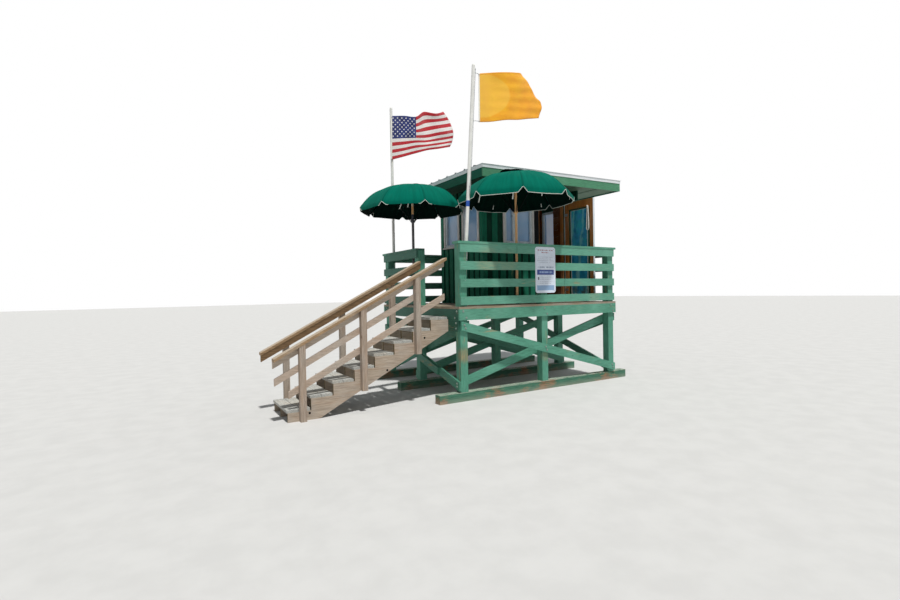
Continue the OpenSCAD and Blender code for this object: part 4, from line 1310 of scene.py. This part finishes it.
def plain_flag():
    """The front flag: it blows up and to the right, and its upper corner curls back."""
    width, height = YELLOW_FLAG
    rows = (
        (
            (602, 0, 5539), (880, 40, 5628), (1150, -25, 5672), (1400, -20, 5718), (1600, 45, 5750),
            (1650, 120, 5570),
        ),
        (
            (599, 0, 5331), (900, 50, 5415), (1200, -22, 5462), (1500, -20, 5530), (1765, 40, 5606),
            (1800, 100, 5440),
        ),
        (
            (597, 0, 5123), (900, 48, 5196), (1205, -25, 5248), (1515, -12, 5325), (1815, 35, 5430),
            (2000, 75, 5400),
        ),
        (
            (594, 0, 4915), (893, 42, 4985), (1195, -33, 5040), (1510, -12, 5110), (1815, 25, 5200),
            (2072, 45, 5260),
        ),
        (
            (591, 0, 4707), (880, 35, 4772), (1170, -40, 4830), (1450, -30, 4880), (1740, 10, 4960),
            (1985, 50, 5020),
        ),
    )

    def place(u, v):
        at = cloth_patch(rows, u, v)
        ripple = 7 * u * math.sin(17 * u - 6 * v) + 5 * u * math.sin(31 * v + 5 * u)
        return site(at.x - 26, POLE_A[1] + at.y + ripple, at.z)

    made = flag_mesh("flag_yellow", width, height, place, flag_yellow)
    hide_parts("flag_plain")
    rings = grommets("flag_yellow_grommets", [(591, POLE_A[1], 5524), (580, POLE_A[1], 4725)])
    lines = [
        [site(*on_pole(72, 0, 3172)), site(580, POLE_A[1] - 4, 4725)],
        [site(*on_pole(70, 0, 3992)), site(591, POLE_A[1] - 4, 5524)],
    ]
    tube("flag_yellow_snaps", lines, 4, line_dark)


def grommets(name, places):
    bm = bmesh.new()
    for x, y, z in places:
        disc(bm, (x, y - 2, z), (0, -1, 0), 11, 3, 20)
        disc(bm, (x, y + 2, z), (0, 1, 0), 11, 3, 20)
    return piece(name, bm, steel)


def striped_flag():
    """The back flag: its outer part billows up, with a deep fold past the canton."""
    width, height = STRIPED_FLAG
    rows = (
        (
            (204, 0, 5623), (551, 60, 5703), (785, -60, 5687), (1049, 50, 5873), (1308, -40, 5849),
            (1555, 40, 5963),
        ),
        (
            (200, 0, 5406), (546, 60, 5470), (785, -50, 5451), (1094, 50, 5607), (1368, -20, 5664),
            (1707, 30, 5781),
        ),
        (
            (195, 0, 5169), (536, 50, 5242), (781, -50, 5250), (1129, 30, 5337), (1442, -20, 5427),
            (1786, 20, 5536),
        ),
        (
            (189, 0, 4911), (531, 50, 5015), (783, -40, 5077), (1120, 20, 5158), (1450, 0, 5244),
            (1788, 40, 5345),
        ),
        (
            (184, 0, 4672), (521, 40, 4799), (778, -40, 4887), (1117, 20, 5014), (1447, 0, 5094),
            (1721, 60, 5178),
        ),
    )

    def place(u, v):
        at = cloth_patch(rows, u, v)
        ripple = 12 * u * math.sin(19 * u - 5 * v) + 8 * u * math.sin(14 * v + 4 * u)
        return site(at.x, POLE_B[1] - 52 + at.y + ripple, at.z)

    made = flag_mesh("flag_stripes", width, height, place, flag_stripes)
    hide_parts("flag_striped")
    rings = grommets(
        "flag_stripes_grommets", [(220, POLE_B[1] - 52, 5608), (200, POLE_B[1] - 52, 4696)],
    )
    lines = [
        [site(POLE_B[0] - 12, POLE_B[1] - 26, z), site(x, POLE_B[1] - 56, z)]
        for x, z in ((220, 5608), (200, 4696))
    ]
    tube("flag_stripes_snaps", lines, 4, line_dark)


def pole_fittings():
    """Tape band, cleat and halyard on the front pole, brackets on the back pole."""
    axis = (math.sin(LEAN), 0, math.cos(LEAN))
    bm = bmesh.new()
    disc(bm, on_pole(0, 0, 1690), axis, 31.2, 100, 40)
    piece("pole_tape_band", bm, blue_tape, smooth=False)
    bm = bmesh.new()
    disc(bm, on_pole(0, -29, 1975), (0, -1, 0), 9, 18, 16)
    disc(bm, on_pole(0, -29, 2035), (0, -1, 0), 9, 18, 16)
    disc(bm, on_pole(0, -50, 1925), axis, 7, 160, 16)
    disc(bm, on_pole(29, 0, 4052), (1, 0, 0), 12, 16, 18)
    for z in (DECK_H - 170, DECK_H + 300, CAP_Z - 80):
        disc(bm, (POLE_B[0], POLE_B[1], z), (0, 0, 1), 34, 36, 40)
    disc(bm, on_pole(0, 0, 3), axis, 52, 34, 40, 44)
    piece("pole_cleat_and_clamps", bm, steel)
    path = [site(*on_pole(42, -4, h)) for h in range(4044, 2100, -53)]
    path += [
        site(*on_pole(36, -28, 2056)), site(*on_pole(10, -42, 2020)), site(*on_pole(0, -44, 1990)),
    ]
    line = tube("halyard_front", [path], 3, line_dark)


def door_dressing():
    """The leaf's outer boards, its green inner skin, and the rope loop."""
    x0, y0, x1, y1 = LEAF
    boards("door_outer_boards", green_siding, [
        ((x1, a, DECK_H + 14), (x1 + 4, a + 128, 3696))
        for a in (y0 + 4 + k * 132.3 for k in range(6))
    ], 1, DOOR)
    boards("door_inner_skin", door_skin, [
        ((x0 + 31.5, y0 + 92, DECK_H + 112), (x0 + 33.8, y1 - 92, 3548)),
    ], 0, DOOR)
    boards("door_edge_strip", trim_wood, [
        ((x0 + 1, y0 - 3, DECK_H + 12), (x1 - 1, y0 - 0.4, 3698)),
    ], 1, DOOR)
    low, high = DECK_H + 150, 3510
    strips = (
        (525, low, 531, high), (989, low, 995, high),
        (531, high - 6, 989, high), (531, low, 989, low + 6),
    )
    boards("door_panel_edging", white_trim, [
        ((x0 + 6, ya, za), (x0 + 10, yb, zb)) for ya, za, yb, zb in strips
    ], 1, DOOR)
    points = []
    top, bottom, x = 3552, 3052, x0 - 13.5
    count = 40
    for k in range(count + 1):
        t = k / count
        if t < 0.42:
            s = t / 0.42
            y, z = 506 + 16 * math.sin(s * math.pi / 2) ** 2, top - (top - bottom - 30) * s
        elif t < 0.58:
            s = (t - 0.42) / 0.16 * math.pi
            y, z = 494 + 28 * math.cos(s), bottom + 30 - 30 * math.sin(s)
        else:
            s = (t - 0.58) / 0.42
            y, z = 466 + 20 * s * s, bottom + 30 + (top - bottom - 54) * s
        points.append(site(x, y, z))
    points.insert(0, site(x0, 506, top + 4))
    points.append(site(x0, 486, top - 22))
    loop = tube("door_rope_loop", [points], 12, rope_white, DOOR)
    bm = bmesh.new()
    for z, y, r in ((3548, 498, 17), (3502, 496, 16), (3450, 498, 15)):
        ring = bmesh.ops.create_uvsphere(bm, u_segments=16, v_segments=10, radius=r / 1000)["verts"]
        bmesh.ops.scale(bm, vec=(0.8, 1.5, 0.9), verts=ring)
        bmesh.ops.rotate(
            bm, cent=(0, 0, 0), matrix=Matrix.Rotation(0.5 * (z % 5 - 2), 3, "X"), verts=ring,
        )
        bmesh.ops.translate(bm, vec=site(x, y, z), verts=ring)
    knots = piece("door_rope_knots", bm, rope_white, DOOR, smooth=True)


# ---- Stage


def photo_camera():
    data = bpy.data.cameras.new("photo_camera")
    data.sensor_width, data.lens, data.clip_end = 36.0, 19.66, 400.0
    cam = bpy.data.objects.new("photo_camera", data)
    yaw, pitch, roll = math.radians(31.291), math.radians(-0.984), math.radians(-1.033)
    look = Vector(
        (math.sin(yaw) * math.cos(pitch), math.cos(yaw) * math.cos(pitch), math.sin(pitch))
    )
    side = Vector((math.cos(yaw), -math.sin(yaw), 0))
    up = side.cross(look)
    x = side * math.cos(roll) + up * math.sin(roll)
    y = up * math.cos(roll) - side * math.sin(roll)
    turn = Matrix((x, y, -look)).transposed().to_4x4()
    cam.matrix_world = Matrix.Translation((-6.136, -8.247, 1.813)) @ turn
    bpy.context.scene.collection.objects.link(cam)
    bpy.context.scene.camera = cam


def lamp(name, kind, energy, towards, size, colour=(1, 1, 1)):
    data = bpy.data.lights.new(name, kind)
    data.energy, data.color = energy, colour
    data.angle = size
    made = bpy.data.objects.new(name, data)
    made.rotation_mode = "QUATERNION"
    made.rotation_quaternion = Vector((0, 0, 1)).rotation_difference(Vector(towards))
    bpy.context.scene.collection.objects.link(made)


def background(tree, colour, strength):
    made = tree.nodes.new("ShaderNodeBackground")
    made.inputs["Color"].default_value = (*colour, 1)
    made.inputs["Strength"].default_value = strength
    return made.outputs[0]


def stage():
    """White to the camera, in mirrors and through glass, and a weaker fill light elsewhere."""
    scene = bpy.context.scene
    scene.view_settings.view_transform = "Standard"
    world = bpy.data.worlds.new("studio")
    scene.world = world
    world.use_nodes = True
    tree = world.node_tree
    tree.nodes.clear()
    out = tree.nodes.new("ShaderNodeOutputWorld")
    path = tree.nodes.new("ShaderNodeLightPath")
    seen = path.outputs["Is Camera Ray"]
    for ray in ("Is Glossy Ray", "Is Transmission Ray"):
        most = tree.nodes.new("ShaderNodeMath")
        most.operation = "MAXIMUM"
        tree.links.new(seen, most.inputs[0])
        tree.links.new(path.outputs[ray], most.inputs[1])
        seen = most.outputs[0]
    mix = tree.nodes.new("ShaderNodeMixShader")
    tree.links.new(seen, mix.inputs[0])
    tree.links.new(background(tree, (0.92, 0.96, 1.0), 0.24), mix.inputs[1])
    tree.links.new(background(tree, (1, 1, 1), 1.0), mix.inputs[2])
    tree.links.new(mix.outputs[0], out.inputs["Surface"])
    lamp("key_lamp", "SUN", 3.2, (-0.04, -0.42, 1.0), math.radians(3), (1.0, 0.985, 0.95))
    lamp("side_lamp", "SUN", 0.22, (1.0, 0.3, 0.8), math.radians(40))
    bm = bmesh.new()
    bmesh.ops.create_grid(bm, x_segments=1, y_segments=1, size=90)
    mesh = bpy.data.meshes.new("floor")
    bm.to_mesh(mesh)
    bm.free()
    mesh.materials.append(level_floor())
    floor = bpy.data.objects.new("floor", mesh)
    bpy.context.scene.collection.objects.link(floor)


photo_camera()
pole_fittings()
door_dressing()
stage()
hut_dressing()
fasteners()
splices()
sunshades()
plain_flag()
striped_flag()
